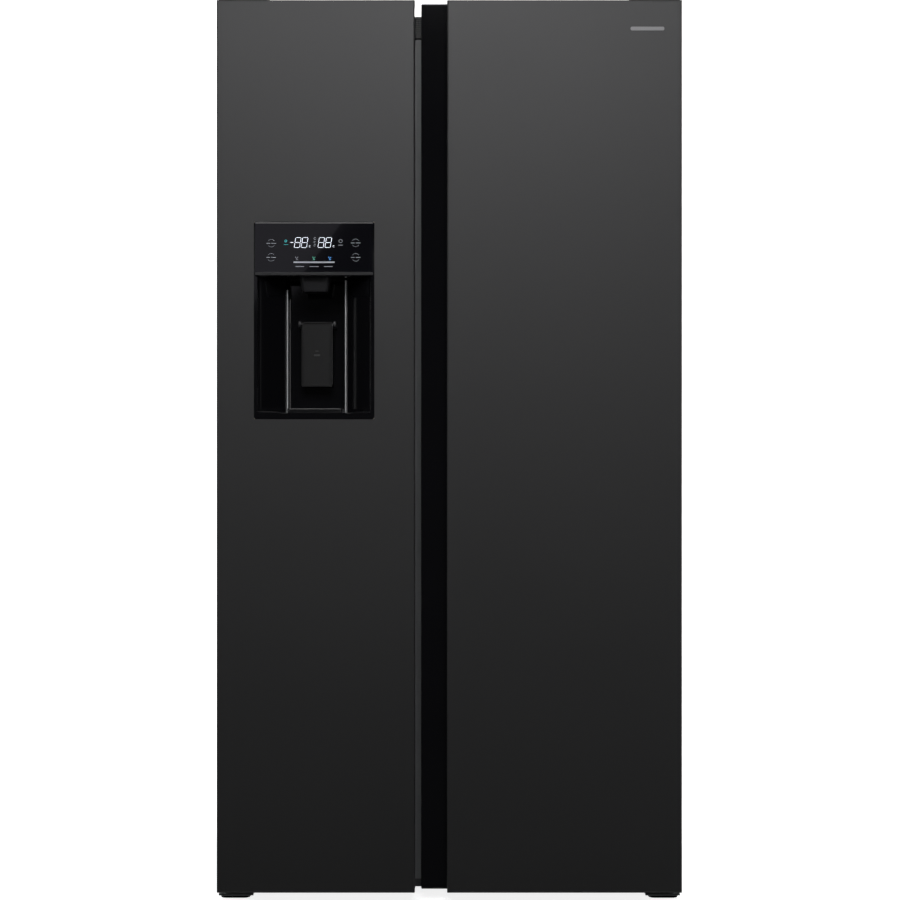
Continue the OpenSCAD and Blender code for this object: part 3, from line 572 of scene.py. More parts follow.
@dataclass(frozen=True)
class Finish:
    """A finish: the constants of its shader and the strengths of the effects in it."""

    name: str
    color: Color
    roughness: float
    metallic: float = 0.0
    tone: float = 0.08
    marks: float = 0.08
    marks_scale: float = 7.0
    grain: float = 0.1
    grain_scale: float = 700.0
    stretch: Color = (1.0, 1.0, 1.0)
    dust: float = 0.0
    coat: float = 0.0
    coat_roughness: float = 0.1
    transmission: float = 0.0
    ior: float = 1.45
    specular: float = 0.5
    glow: float = 0.0
    sheen: float = 0.0

    def material(self) -> bpy.types.Material:
        """The material of this finish, made on its first use.

        Returns:
            The material.
        """
        if self.name in bpy.data.materials:
            return bpy.data.materials[self.name]
        material = bpy.data.materials.new(self.name)
        material.use_nodes = True
        tree = material.node_tree
        shader = tree.nodes["Principled BSDF"]
        place = tree.nodes.new("ShaderNodeTexCoord").outputs["Object"]
        self._constants(shader)
        color = self._place(tree, Effects.tone(), place, Color=self.color, Amount=self.tone,
                            Scale=self.marks_scale)
        source = color.outputs["Color"]
        if self.dust:
            dust = self._place(tree, Effects.dust(), place, Amount=self.dust)
            tree.links.new(source, dust.inputs["Color"])
            source = dust.outputs["Color"]
        tree.links.new(source, shader.inputs["Base Color"])
        marks = self._place(
            tree,
            Effects.handling(),
            place,
            Roughness=self.roughness,
            Amount=self.marks,
            Scale=self.marks_scale,
        )
        tree.links.new(marks.outputs["Roughness"], shader.inputs["Roughness"])
        grain = self._place(tree, Effects.grain(), place, Stretch=self.stretch, Scale=self.grain_scale)
        bump = tree.nodes.new("ShaderNodeBump")
        bump.inputs["Strength"].default_value = self.grain
        bump.inputs["Distance"].default_value = 0.2 * MM
        tree.links.new(grain.outputs["Height"], bump.inputs["Height"])
        tree.links.new(bump.outputs["Normal"], shader.inputs["Normal"])
        return material

    def _constants(self, shader: bpy.types.Node) -> None:
        """Sets what is the same all over the surface on the shader itself."""
        shader.inputs["Metallic"].default_value = self.metallic
        shader.inputs["IOR"].default_value = self.ior
        shader.inputs["Specular IOR Level"].default_value = self.specular
        shader.inputs["Coat Weight"].default_value = self.coat
        shader.inputs["Coat Roughness"].default_value = self.coat_roughness
        shader.inputs["Transmission Weight"].default_value = self.transmission
        shader.inputs["Sheen Weight"].default_value = self.sheen
        if self.glow:
            shader.inputs["Emission Color"].default_value = (*self.color, 1.0)
            shader.inputs["Emission Strength"].default_value = self.glow

    @staticmethod
    def _place(
        tree: bpy.types.ShaderNodeTree,
        group: bpy.types.ShaderNodeTree,
        place: bpy.types.NodeSocket,
        **values: float | Color,
    ) -> bpy.types.Node:
        """Puts a group into a material with its own values, and feeds it the place on the surface."""
        node = tree.nodes.new("ShaderNodeGroup")
        node.node_tree = group
        tree.links.new(place, node.inputs["Vector"])
        for label, value in values.items():
            if label == "Color":
                node.inputs[label].default_value = (*value, 1.0)
            else:
                node.inputs[label].default_value = value
        return node


class Finishes:
    """The finishes of the refrigerator."""

    DOOR = Finish("graphite_satin_steel", (0.055, 0.055, 0.056), 0.5, 0.85, tone=0.05, marks=0.05,
                  marks_scale=3.0,
                  grain=0.25, grain_scale=900.0, stretch=(1.0, 1.0, 1.0))
    CABINET = Finish("graphite_side_paint", (0.03, 0.03, 0.031), 0.42, 0.0, tone=0.1, marks=0.08, grain=0.5,
                     grain_scale=420.0, dust=0.25)
    GLOSS_BLACK = Finish("gloss_black_plastic", (0.004, 0.004, 0.005), 0.07, tone=0.3, marks=0.05, grain=0.02,
                         grain_scale=200.0, coat=0.5, coat_roughness=0.04)
    GLASS_BLACK = Finish("black_touch_panel", (0.004, 0.004, 0.006), 0.07, tone=0.3, marks=0.04, grain=0.01,
                         coat=1.0,
                         coat_roughness=0.02)
    SATIN_BLACK = Finish("satin_black_plastic", (0.016, 0.016, 0.018), 0.38, tone=0.2, marks=0.1, grain=0.35,
                         grain_scale=1100.0)
    MATT_BLACK = Finish("matt_black_plastic", (0.013, 0.013, 0.014), 0.55, tone=0.2, marks=0.12, grain=0.6,
                        grain_scale=900.0, dust=0.25)
    PADDLE = Finish("paddle_satin_plastic", (0.006, 0.006, 0.0065), 0.36, tone=0.15, marks=0.08, grain=0.3,
                    grain_scale=1300.0)
    GREY_STRIP = Finish("grey_centre_strip", (0.15, 0.152, 0.158), 0.45, 0.15, tone=0.1, marks=0.1, grain=0.2)
    LINER = Finish("white_inner_liner", (0.76, 0.775, 0.785), 0.3, tone=0.015, marks=0.03, grain=0.05,
                   grain_scale=600.0,
                   coat=0.1)
    SEAL = Finish("grey_soft_seal", (0.16, 0.163, 0.167), 0.62, tone=0.12, marks=0.1, grain=0.5,
                  grain_scale=500.0, sheen=0.2)
    RAIL = Finish("satin_silver_trim", (0.5, 0.5, 0.51), 0.3, 0.35, tone=0.04, marks=0.06, grain=0.05)
    TRAY = Finish("dark_tray_plastic", (0.005, 0.005, 0.006), 0.26, tone=0.2, marks=0.08, grain=0.1)
    NAMEPLATE = Finish("dim_silver_plate", (0.16, 0.16, 0.165), 0.35, 0.6, tone=0.05, marks=0.06, grain=0.05)
    ZINC = Finish("zinc_plated_steel", (0.42, 0.43, 0.44), 0.33, 1.0, tone=0.2, marks=0.18, marks_scale=18.0,
                  grain=0.3)
    SHEET = Finish("galvanised_sheet", (0.4, 0.415, 0.43), 0.42, 1.0, tone=0.45, marks=0.3, marks_scale=38.0,
                   grain=0.15,
                   dust=0.3)
    DARK_SHEET = Finish("dark_painted_sheet", (0.05, 0.051, 0.053), 0.5, 0.2, tone=0.2, marks=0.12, grain=0.4,
                        dust=0.3)
    ENAMEL = Finish("black_enamel", (0.01, 0.01, 0.011), 0.3, tone=0.3, marks=0.15, marks_scale=15.0,
                    grain=0.3,
                    grain_scale=350.0, dust=0.4)
    FIN = Finish("plain_fin_metal", (0.66, 0.67, 0.68), 0.35, 1.0, tone=0.12, marks=0.2, grain=0.3,
                 stretch=(1.0, 1.0, 0.05))
    BRASS = Finish("plated_brass", (0.62, 0.47, 0.22), 0.28, 1.0, tone=0.15, marks=0.15, grain=0.1)
    SHELF_GLASS = Finish("tempered_shelf_glass", (0.86, 0.95, 0.93), 0.03, tone=0.02, marks=0.03, grain=0.01,
                         transmission=1.0, ior=1.5)
    CLEAR = Finish("clear_moulded_plastic", (0.96, 0.985, 1.0), 0.12, tone=0.03, marks=0.1, grain=0.12,
                   grain_scale=240.0, transmission=0.86, ior=1.3)
    FROSTED = Finish("frosted_drawer_plastic", (0.93, 0.965, 0.98), 0.32, tone=0.04, marks=0.12, grain=0.25,
                     grain_scale=300.0, transmission=0.6, ior=1.3)
    TRIM = Finish("silver_shelf_trim", (0.6, 0.61, 0.62), 0.3, 0.9, tone=0.05, marks=0.08, grain=0.15,
                  stretch=(0.05, 1.0, 1.0))
    PALE_PLASTIC = Finish("pale_grey_plastic", (0.6, 0.62, 0.635), 0.36, tone=0.05, marks=0.1, grain=0.3,
                          grain_scale=500.0)
    LAMP = Finish("milky_lamp_cover", (0.95, 0.97, 1.0), 0.35, tone=0.02, marks=0.05, grain=0.1, glow=9.0)
    FOAM = Finish("insulation_foam", (0.7, 0.56, 0.3), 0.85, tone=0.25, marks=0.05, marks_scale=60.0,
                  grain=0.9,
                  grain_scale=300.0)
    DIGITS = Finish("white_display_digits", (0.86, 0.9, 1.0), 0.4, tone=0.02, glow=0.95)
    ICON = Finish("dim_display_marks", (0.34, 0.36, 0.4), 0.4, tone=0.05, glow=0.35)
    FAINT = Finish("faint_paddle_marks", (0.05, 0.05, 0.052), 0.5, tone=0.05)
    TEAL = Finish("teal_display_mark", (0.05, 0.4, 0.42), 0.4, tone=0.05, glow=0.9)
    BLUE = Finish("blue_display_mark", (0.08, 0.3, 0.75), 0.4, tone=0.05, glow=0.9)
    GREEN = Finish("green_display_mark", (0.1, 0.42, 0.3), 0.4, tone=0.05, glow=0.8)


def dress(
    obj: bpy.types.Object, finish: Finish, body: str, replaces: Sequence[str] = ()
) -> bpy.types.Object:
    """Gives a piece its finish, its body and the CAD nodes that it stands for.

    Args:
        obj: The piece.
        finish: Its finish.
        body: The CAD body that it rides on.
        replaces: CAD nodes that it stands for.

    Returns:
        The same piece.
    """
    obj.data.materials.clear()
    obj.data.materials.append(finish.material())
    flatten(obj)
    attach(obj, body)
    if replaces:
        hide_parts(*replaces)
    log.info("%s on %s: %d faces", obj.name, body, len(obj.data.polygons))
    return obj


def softened(frame: dict, node: str, finish: Finish, body: str, width: float = 0.6 * MM) -> bpy.types.Object:
    """A copy of a CAD node with its doubles merged, its flat faces joined and its edges bevelled.

    Args:
        node: The CAD node.
        finish: Its finish.
        body: Its body.
        width: Width of the bevel; nought leaves the edges sharp.

    Returns:
        The copy, which stands for the node.
    """
    mesh = frame["nodes"][node].data.copy()
    mesh.name = f"{node}_made"
    work = bmesh.new()
    work.from_mesh(mesh)
    bmesh.ops.remove_doubles(work, verts=work.verts, dist=0.005 * MM)
    bmesh.ops.dissolve_limit(work, angle_limit=math.radians(1.0), verts=work.verts, edges=work.edges)
    work.to_mesh(mesh)
    work.free()
    mesh.shade_smooth()
    mesh.set_sharp_from_angle(angle=math.radians(35))
    obj = bpy.data.objects.new(f"{node}_made", mesh)
    bpy.context.scene.collection.objects.link(obj)
    if width:
        bevel = obj.modifiers.new("edge", "BEVEL")
        bevel.width, bevel.segments, bevel.limit_method = width, 2, "ANGLE"
        bevel.angle_limit = math.radians(40)
        bevel.use_clamp_overlap = True
    return dress(obj, finish, body, [node])


def span(node: str) -> tuple[Array, Array]:
    """Lowest and highest corner of a CAD node as arrays."""
    low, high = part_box(node)
    return np.array(low), np.array(high)


def carve(obj: bpy.types.Object, cutter: Surface) -> bpy.types.Object:
    """Takes a solid away from a piece, and keeps the result as the piece's own mesh.

    Args:
        obj: The piece, with no parent yet.
        cutter: The solid.

    Returns:
        The same piece.
    """
    tool = cutter.build("cutter")
    cut = obj.modifiers.new("cut", "BOOLEAN")
    cut.object, cut.operation, cut.solver = tool, "DIFFERENCE", "MANIFOLD"
    bpy.context.view_layer.update()
    mesh = bpy.data.meshes.new_from_object(obj.evaluated_get(bpy.context.evaluated_depsgraph_get()))
    obj.modifiers.clear()
    old, obj.data = obj.data, mesh
    mesh.name = obj.name
    bpy.data.meshes.remove(old)
    bpy.data.objects.remove(tool)
    mesh.shade_smooth()
    mesh.set_sharp_from_angle(angle=math.radians(38))
    return obj


# ---------------------------------------------------------------- doors


@dataclass
class DoorShell:
    """A door: its steel wrap, end caps, finger grip, inner liner, foam and seal."""

    key: str
    side: Side
    fold: float = 12 * MM
    undercut: float = 20 * MM
    wall: float = 2 * MM
    front_radius: float = 4 * MM
    set_back: float = 0.3 * MM
    rim_width: float = 24 * MM
    pocket: float = 15 * MM
    rim_radius: float = 16 * MM

    def __post_init__(self) -> None:
        """Reads the door's places from the CAD nodes."""
        self.body = f"{self.key}_door"
        panel_low, panel_high = span(f"{self.key}_door_panel")
        grip_low, grip_high = span(f"{self.key}_door_grip")
        cap_low, cap_high = span(f"{self.key}_door_caps")
        self.outer = self.side.value * max(abs(panel_low[0]), abs(panel_high[0]))
        self.front, self.back = float(cap_low[1]), float(cap_high[1])
        self.low, self.high = float(panel_low[2]), float(panel_high[2])
        self.cap_low, self.cap_high = float(cap_low[2]), float(cap_high[2])
        self.panel_width = float(panel_high[0] - panel_low[0])
        inner = grip_high[0] if self.side is Side.LEFT else grip_low[0]
        self.back_width = abs(float(inner) - self.outer)
        self.grip_y = self.front + 30 * MM

    def across(self, distance: Array | float) -> Array | float:
        """X of a distance measured from the hinge side of the door."""
        return self.outer - self.side.value * np.asarray(distance)

    def outline(self, points: Sequence[tuple[float, float]], radius: float) -> Array:
        """An outline given as distances from the hinge side and Y, with its corners rounded."""
        flat = np.array(points)
        flat = np.column_stack([self.across(flat[:, 0]), flat[:, 1]])
        return soften_outline(flat, radius)

    def build(self, window: tuple[Span, Span] | None = None, opening: Surface | None = None) -> None:
        """Makes all the pieces.

        Args:
            window: Limits on X and Z of the hole in the wrap for a dispenser.
            opening: The solid that a dispenser takes out of the liner and the foam.
        """
        self.wrap(window)
        self.caps()
        self.grip()
        self.liner(opening)
        self.foam(opening)
        self.seal()

    def wrap(self, window: tuple[Span, Span] | None) -> bpy.types.Object:
        """The bent steel sheet: a path from above, rounded at its bends, carried up the door as a grid with
        cells left out at the window, and given its thickness inwards."""
        width, middle, face = self.panel_width, self.panel_width / 2, self.front + self.set_back
        hinge = soften_line(np.array([[0.0, self.back], [0.0, face], [middle, face]]), self.front_radius, 6)
        grip = soften_line(np.array([[middle, face], [width, face], [width, self.front + self.fold]]),
                           self.front_radius, 6)
        path_x, path_y = self.across(hinge[:-1, 0]), hinge[:-1, 1]
        if window:
            path_x = np.append(path_x, window[0])
            path_y = np.append(path_y, [face, face])
        path_x = np.append(path_x, self.across(grip[1:, 0]))
        path_y = np.append(path_y, grip[1:, 1])
        levels = np.array([self.low, *(window[1] if window else ()), self.high])
        points = np.empty((len(levels), len(path_x), 3))
        points[..., 0], points[..., 1], points[..., 2] = path_x, path_y, levels[:, None]
        keep = np.ones((len(levels) - 1, len(path_x) - 1), bool)
        if window:
            keep[1, len(hinge) - 1] = False
        if self.side is Side.RIGHT:
            points, keep = points[:, ::-1], keep[:, ::-1]
        obj = Surface().open_grid(points, keep).build(f"{self.key}_door_wrap")
        sheet = obj.modifiers.new("sheet", "SOLIDIFY")
        sheet.thickness, sheet.offset = 1 * MM, -1.0
        return dress(obj, Finishes.DOOR, self.body, [f"{self.key}_door_panel"])

    def badge(self) -> bpy.types.Object:
        """A slim plain nameplate near the upper outer corner, with nothing on it."""
        far, near, top = float(self.across(35 * MM)), float(self.across(101 * MM)), self.high - 50 * MM
        low = [min(far, near), self.front + 0.05 * MM, top - 7.5 * MM]
        obj = Surface().slab(low, [max(far, near), self.front + 0.8 * MM, top], Axis.Y, 3 * MM, 0.2 * MM)
        return dress(obj.build("plain_nameplate"), Finishes.NAMEPLATE, self.body)

    def caps(self) -> bpy.types.Object:
        """The end caps: the door's outline from above with rounded rims, and a bush round each hinge pin."""
        width, back, channel = self.panel_width, self.back_width, self.front + self.fold + self.wall
        deep = width - self.undercut
        outline = self.outline(
            [(0, self.front), (width, self.front), (width, channel), (deep, channel), (deep, self.grip_y),
             (back, self.grip_y), (back, self.back), (0, self.back)],
            2.6 * MM,
        )
        made = Surface()
        pin = (float(self.across(18 * MM)), self.front + 30 * MM, 0.0)
        for low, high, lift in ((self.cap_low, self.low, -1), (self.high, self.cap_high, 1)):
            made.shell(outline_sections(outline, Axis.Z, slab_profile(low, high, 0.6 * MM)))
            face = low if lift < 0 else high
            ring = np.array([[0, 14], [0.3, 13.4], [0.3, 8.8], [-6, 8.6]]) * MM * [lift, 1]
            made.shell(round_sections((pin[0], pin[1], face), Axis.Z, ring))
        obj = made.build(f"{self.key}_door_end_caps")
        return dress(obj, Finishes.MATT_BLACK, self.body, [f"{self.key}_door_caps"])

    def grip(self) -> bpy.types.Object:
        """The finger grip: one bent wall seen from above, with softened bends, carried up the door."""
        width, back, y = self.panel_width, self.back_width, self.front + self.fold
        deep, wall = width - self.undercut, self.wall
        outline = self.outline(
            [(width, y), (width, y + wall), (deep, y + wall), (deep, self.grip_y), (back, self.grip_y),
             (back, self.back), (back - wall, self.back), (back - wall, self.grip_y + wall),
             (deep - wall, self.grip_y + wall), (deep - wall, y)],
            0.9 * MM,
        )
        profile = slab_profile(self.low, self.high, 0.3 * MM)
        obj = Surface().shell(outline_sections(outline, Axis.Z,
                                               profile)).build(f"{self.key}_door_grip_profile")
        return dress(obj, Finishes.GLOSS_BLACK, self.body, [f"{self.key}_door_grip"])

    def liner(self, opening: Surface | None) -> bpy.types.Object:
        """The moulded inner side: sections that run out over the flange, up the drafted rim and down into
        the pocket, with every turn rounded."""
        flange_low, flange_high = span(f"{self.key}_door_liner")
        rim_low, rim_high = span_rim(self.key)
        y = self.back
        height = float(flange_high[1]) - y if self.key == "fridge" else RIM_HEIGHT
        flange = [flange_low[0], flange_high[0], flange_low[2], flange_high[2]]
        rim = np.array([rim_low[0], rim_high[0], rim_low[1], rim_high[1]])
        inwards = np.array([1.0, -1.0, 1.0, -1.0])
        rows = np.array(
            [
                [*flange, 3 * MM, y - 18 * MM],
                [*flange, 3 * MM, y - 0.2 * MM],
                [*rim, self.rim_radius, y],
                [*(rim + 2.5 * MM * inwards), self.rim_radius, y + height],
                [*(rim + (self.rim_width - 4 * MM) * inwards), self.rim_radius * 0.8, y + height],
                [*(rim + self.rim_width * inwards), self.rim_radius * 0.6, y - self.pocket],
            ]
        )
        floor = rows[-1] + np.array([*(inwards * 12 * MM), 0.0, 0.0])
        rows = soften_line(np.vstack([rows, floor]), 14 * MM, 5)
        obj = Surface().shell(rounded_sections(rows, Axis.Y, 8)).build(f"{self.key}_door_inner_liner")
        if opening:
            carve(obj, opening)
        return dress(obj, Finishes.LINER, self.body, [f"{self.key}_door_liner"])

    def foam(self, opening: Surface | None) -> bpy.types.Object:
        """The foam core, a plain block inside the shells."""
        low = [min(self.across(6 * MM), self.across(self.panel_width - 30 * MM)), self.front + 4 * MM,
               self.low + 16 * MM]
        high = [max(self.across(6 * MM), self.across(self.panel_width - 30 * MM)), self.back - 19 * MM,
                self.high - 16 * MM]
        obj = Surface().slab(low, high, Axis.Y, 6 * MM, 2 * MM).build(f"{self.key}_door_foam_core")
        if opening:
            carve(obj, opening)
        return dress(obj, Finishes.FOAM, self.body, [f"{self.key}_door_foam"])

    def seal(self) -> bpy.types.Object:
        """The magnetic seal: a bellows section carried round the door as one ring."""
        low, high = span(f"{self.key}_door_gasket")
        depth = float(high[1] - low[1]) / MM
        section = np.array(
            [[0, 2.5], [0, 13.5], [1.8, 13.5], [3.4, 10.5], [5.0, 13.8], [depth, 14.6], [depth, 1.4],
             [5.0, 2.2],
             [3.4, 5.5], [1.8, 2.5]]
        )
        section = soften_outline(section, 1.0, 3) * MM + [low[1], 0.0]
        rows = box_rows(low, high, Axis.Y, section, 7 * MM)
        obj = Surface().shell(rounded_sections(rows, Axis.Y, 6), ring=True).build(f"{self.key}_door_seal")
        return dress(obj, Finishes.SEAL, self.body, [f"{self.key}_door_gasket"])




def span_rim(key: str) -> tuple[Array, Array]:
    """Lowest and highest corner, on X and Z, of a door liner's raised rim, from its CAD bins."""
    low, high = span(f"{key}_door_bins")
    room_low, room_high = span(f"{key}_liner")
    width, clear, wall = 24 * MM, 4 * MM, 2 * MM
    return (
        np.array([low[0] - width, room_low[2] + wall + clear]),
        np.array([high[0] + width, room_high[2] - wall - clear]),
    )


# ---------------------------------------------------------------- dispenser


@dataclass
class Dispenser:
    """The ice and water dispenser in the freezer door, with its display."""

    body: str = "freezer_door"
    corner: float = 6 * MM
    panel_height: float = 108 * MM
    recess_depth: float = 100 * MM
    side_depth: float = 60 * MM
    back_width: float = 119 * MM
    floor_height: float = 12 * MM

    def __post_init__(self) -> None:
        """Reads the dispenser's places from its CAD nodes."""
        self.low, self.high = span("dispenser_housing")
        self.middle = float(self.low[0] + self.high[0]) / 2
        self.front = float(self.low[1])
        self.panel_z = float(self.high[2]) - self.panel_height

    def window(self) -> tuple[Span, Span]:
        """Limits on X and Z of the hole that the door's wrap needs."""
        edge = 0.6 * MM
        return (
            (float(self.low[0]) + edge, float(self.high[0]) - edge),
            (float(self.low[2]) + edge, float(self.high[2]) - edge),
        )

    def solid(self) -> Surface:
        """The block that the housing fills, for the hole in the liner and the foam."""
        return Surface().slab(self.low - [0, 10 * MM, 0], self.high, Axis.Y, 2 * MM, 0.5 * MM)

    def build(self) -> None:
        """Makes all the pieces."""
        self.housing()
        self.panel()
        self.display()
        self.nozzle()
        self.rails()
        self.paddle()
        self.tray()

    def housing(self) -> bpy.types.Object:
        """The black housing: a rounded block with the recess and the panel's seat taken out. The recess is
        an outline from above, wide at the front and narrow at the back, carried up with rounded ends."""
        half_front, half_back = (self.high[0] - self.low[0]) / 2 - 8 * MM, self.back_width / 2
        x, y = self.middle, self.front
        outline = soften_outline(
            np.array(
                [
                    [x - half_front - 3 * MM, y - 6 * MM],
                    [x - half_front, y + 5 * MM],
                    [x - half_back, y + self.side_depth],
                    [x - half_back, y + self.recess_depth],
                    [x + half_back, y + self.recess_depth],
                    [x + half_back, y + self.side_depth],
                    [x + half_front, y + 5 * MM],
                    [x + half_front + 3 * MM, y - 6 * MM],
                ]
            ),
            6 * MM,
            5,
        )
        floor = float(self.low[2]) + self.floor_height
        profile = slab_profile(floor, self.panel_z + 6 * MM, 5 * MM, 5)
        obj = Surface().slab(self.low + [0, 0.2 * MM, 0], self.high, Axis.Y, self.corner, 0.15 * MM, 8)
        obj = obj.build("dispenser_housing_shell")
        carve(obj, Surface().shell(outline_sections(outline, Axis.Z, profile)))
        seat_low = [self.low[0] + 1.4 * MM, y - 5 * MM, self.panel_z - 0.2 * MM]
        seat_high = [self.high[0] - 1.4 * MM, y + 24 * MM, self.high[2] - 1.4 * MM]
        carve(obj, Surface().slab(seat_low, seat_high, Axis.Y, self.corner - 1 * MM, 0.3 * MM))
        ears = Surface()
        pivot_low, pivot_high = span("dispenser_paddle")
        pin_z, pin_y = float(pivot_high[2]) - 5 * MM, y + 80 * MM
        for sign in (-1, 1):
            reach = (pivot_high[0] - pivot_low[0]) / 2
            near, far = x + sign * reach, x + sign * (reach - 5 * MM)
            low = [min(near, far), pin_y - 6 * MM, pin_z - 7 * MM]
            high = [max(near, far), y + self.recess_depth + 1 * MM, pin_z + 7 * MM]
            ears.slab(low, high, Axis.X, 5 * MM, 0.8 * MM)
        dress(ears.build("paddle_pivot_ears"), Finishes.SATIN_BLACK, self.body)
        return dress(obj, Finishes.GLOSS_BLACK, self.body, ["dispenser_housing"])

    def panel(self) -> bpy.types.Object:
        """The touch panel: its outline from the side, with a chamfered lip below, carried across."""
        low, high = span("dispenser_panel")
        lip, y = 3 * MM, float(low[1]) + 0.2 * MM
        outline = soften_outline(
            np.array([[y, high[2]], [y, low[2] + lip], [y + 4 * MM, low[2] + 0.4 * MM],
                      [high[1], low[2] + 0.4 * MM], [high[1], high[2]]]),
            1.2 * MM,
        )
        made = Surface().shell(outline_sections(outline, Axis.X,
                                                slab_profile(float(low[0]), float(high[0]), 0.8 * MM)))
        # A lighter satin band just above the chamfered lip: painted highlight for the light that the lower
        # lip catches.
        band = Surface().slab([low[0] + 1 * MM, y - 0.12 * MM, low[2] + 3 * MM],
                              [high[0] - 1 * MM, y + 1 * MM, low[2] + 9 * MM], Axis.X, 0.3 * MM, 0.1 * MM)
        dress(band.build("touch_panel_lip_highlight_band"), Finishes.SATIN_BLACK, self.body)
        return dress(made.build("touch_panel_block"), Finishes.GLASS_BLACK, self.body, ["dispenser_panel"])

    def mark(self, made: Surface, outline: Array, depth: float = 0.6 * MM) -> None:
        """Adds a thin raised mark to the panel.

        Args:
            made: The surface that takes it.
            outline: Closed outline as millimetres right of the panel's left edge and below its top edge.
            depth: How deep it sits in the panel.
        """
        y = self.front
        flat = np.column_stack([self.low[0] + outline[:, 0] * MM, self.high[2] - outline[:, 1] * MM])
        sections = np.stack([np.insert(flat, 1, place, axis=1) for place in (y + depth, y + 0.05 * MM)])
        made.shell(sections)

    @staticmethod
    def bar(start: Sequence[float], end: Sequence[float], width: float, point: float = 0.5) -> Array:
        """A bar with pointed ends: its middle line with half the width to each side, drawn in at both ends.

        Args:
            start: One end.
            end: The other end.
            width: Width of the bar.
            point: Length of each pointed end, in widths.

        Returns:
            Six points.
        """
        a, b = np.asarray(start, float), np.asarray(end, float)
        along = (b - a) / np.linalg.norm(b - a)
        across = np.array([-along[1], along[0]]) * width / 2
        tip = along * width * point
        return np.array([a, a + tip + across, b - tip + across, b, b - tip - across, a + tip - across])

    @staticmethod
    def arc(centre: Sequence[float], radius: float, width: float, start: float, end: float,
            steps: int = 12) -> Array:
        """A curved band: an outer arc and the inner one back, each centre plus radius times (cos t, sin t).

        Args:
            centre: Centre of the arcs.
            radius: Middle radius.
            width: Width of the band.
            start: First angle, in degrees.
            end: Last angle, in degrees.
            steps: Pieces in each arc.

        Returns:
            The closed outline.
        """
        t = np.radians(np.linspace(start, end, steps + 1))
        ray = np.column_stack([np.cos(t), np.sin(t)])
        return np.asarray(centre) + np.vstack([ray * (radius + width / 2), ray[::-1] * (radius - width / 2)])

    def digit(self, made: Surface, left: float, top: float, segments: str, height: float = 19.4,
              width: float = 10.6) -> None:
        """Adds one seven-segment figure that leans to the right.

        Args:
            made: The surface that takes it.
            left: Its left edge, in millimetres from the panel's left edge.
            top: Its top, in millimetres from the panel's top edge.
            segments: Letters a to g of the lit segments.
            height: Its height.
            width: Its width.
        """
        corners = {
            "a": ((0, 0), (1, 0)), "b": ((1, 0), (1, 0.5)), "c": ((1, 0.5), (1, 1)), "d": ((0, 1), (1, 1)),
            "e": ((0, 0.5), (0, 1)), "f": ((0, 0), (0, 0.5)), "g": ((0, 0.5), (1, 0.5)),
        }
        lean, stroke, gap = 0.16, 0.9, 0.05
        for letter in segments:
            ends = np.array(corners[letter], float)
            ends += (ends[::-1] - ends) * gap
            spots = np.column_stack([left + ends[:, 0] * width + (1 - ends[:, 1]) * height * lean,
                                     top + ends[:, 1] * height])
            self.mark(made, self.bar(spots[0], spots[1], stroke))

    def display(self) -> None:
        """The lit figures and marks: two temperatures, rings round the touch spots, a slider and icons."""
        lit, dim, teal, green, blue = Surface(), Surface(), Surface(), Surface(), Surface()
        self.mark(lit, self.bar((71.4, 41.2), (77.4, 41.2), 1.3))
        for left in (79.0, 92.6, 125.2, 139.0):
            self.digit(lit, left, 31.6, "abcdefg")
        for left in (107.4, 154.0):
            self.mark(lit, self.arc((left + 2.4, 48.6), 1.5, 0.6, 50, 310))
        for row, top in enumerate((33.5, 40.5, 47.0)):
            self.mark(dim, self.arc((119.6, top), 1.9, 0.7, 20 + 30 * row, 320))
        for centre in ((34.4, 42.6), (34.0, 70.2), (199.2, 41.8), (199.4, 70.2)):
            self.mark(dim, self.arc(centre, 7.4, 0.45, 215, 325))
            self.mark(dim, self.arc(centre, 7.4, 0.45, 35, 145))
            for start, end in ((-9.4, -2.0), (0.2, 9.4)):
                self.mark(dim,
                          self.bar((centre[0] + start, centre[1] + 0.2), (centre[0] + end, centre[1] + 0.2),
                                   1.1, 0.2))
        self.mark(teal, self.arc((62.6, 38.4), 2.0, 1.0, 0, 350))
        self.mark(teal, self.bar((58.6, 45.4), (66.8, 45.4), 0.7, 0.2))
        self.mark(dim, self.arc((169.8, 38.4), 3.2, 0.6, 0, 356))
        self.mark(dim, self.bar((165.4, 46.4), (174.2, 46.4), 0.9, 0.2))
        self.mark(dim, self.bar((77.6, 79.8), (158.2, 79.8), 2.9, 0.1))
        for start, end in ((77.6, 102.4), (105.0, 131.0), (133.6, 158.2)):
            self.mark(dim, self.bar((start + 4.0, 88.2), (end - 4.0, 88.2), 0.9, 0.2))
        for centre, made in (((84.0, 71.8), dim), ((117.4, 71.8), green), ((148.6, 71.8), blue)):
            self.mark(made,
                      self.bar((centre[0] - 2.6, centre[1] - 2.6), (centre[0] + 0.2, centre[1] + 1.6), 0.9,
                               0.3))
            self.mark(made,
                      self.bar((centre[0] + 2.8, centre[1] - 2.6), (centre[0] + 0.8, centre[1] + 0.4), 0.8,
                               0.3))
            self.mark(made,
                      self.bar((centre[0] - 1.6, centre[1] + 3.0), (centre[0] + 2.6, centre[1] + 3.0), 0.8,
                               0.3))
        named = ((lit, "display_figures", Finishes.DIGITS), (dim, "display_marks", Finishes.ICON),
                 (teal, "display_mark_teal", Finishes.TEAL), (green, "display_mark_green", Finishes.GREEN),
                 (blue, "display_mark_blue", Finishes.BLUE))
        for made, name, finish in named:
            dress(made.build(name), finish, self.body)

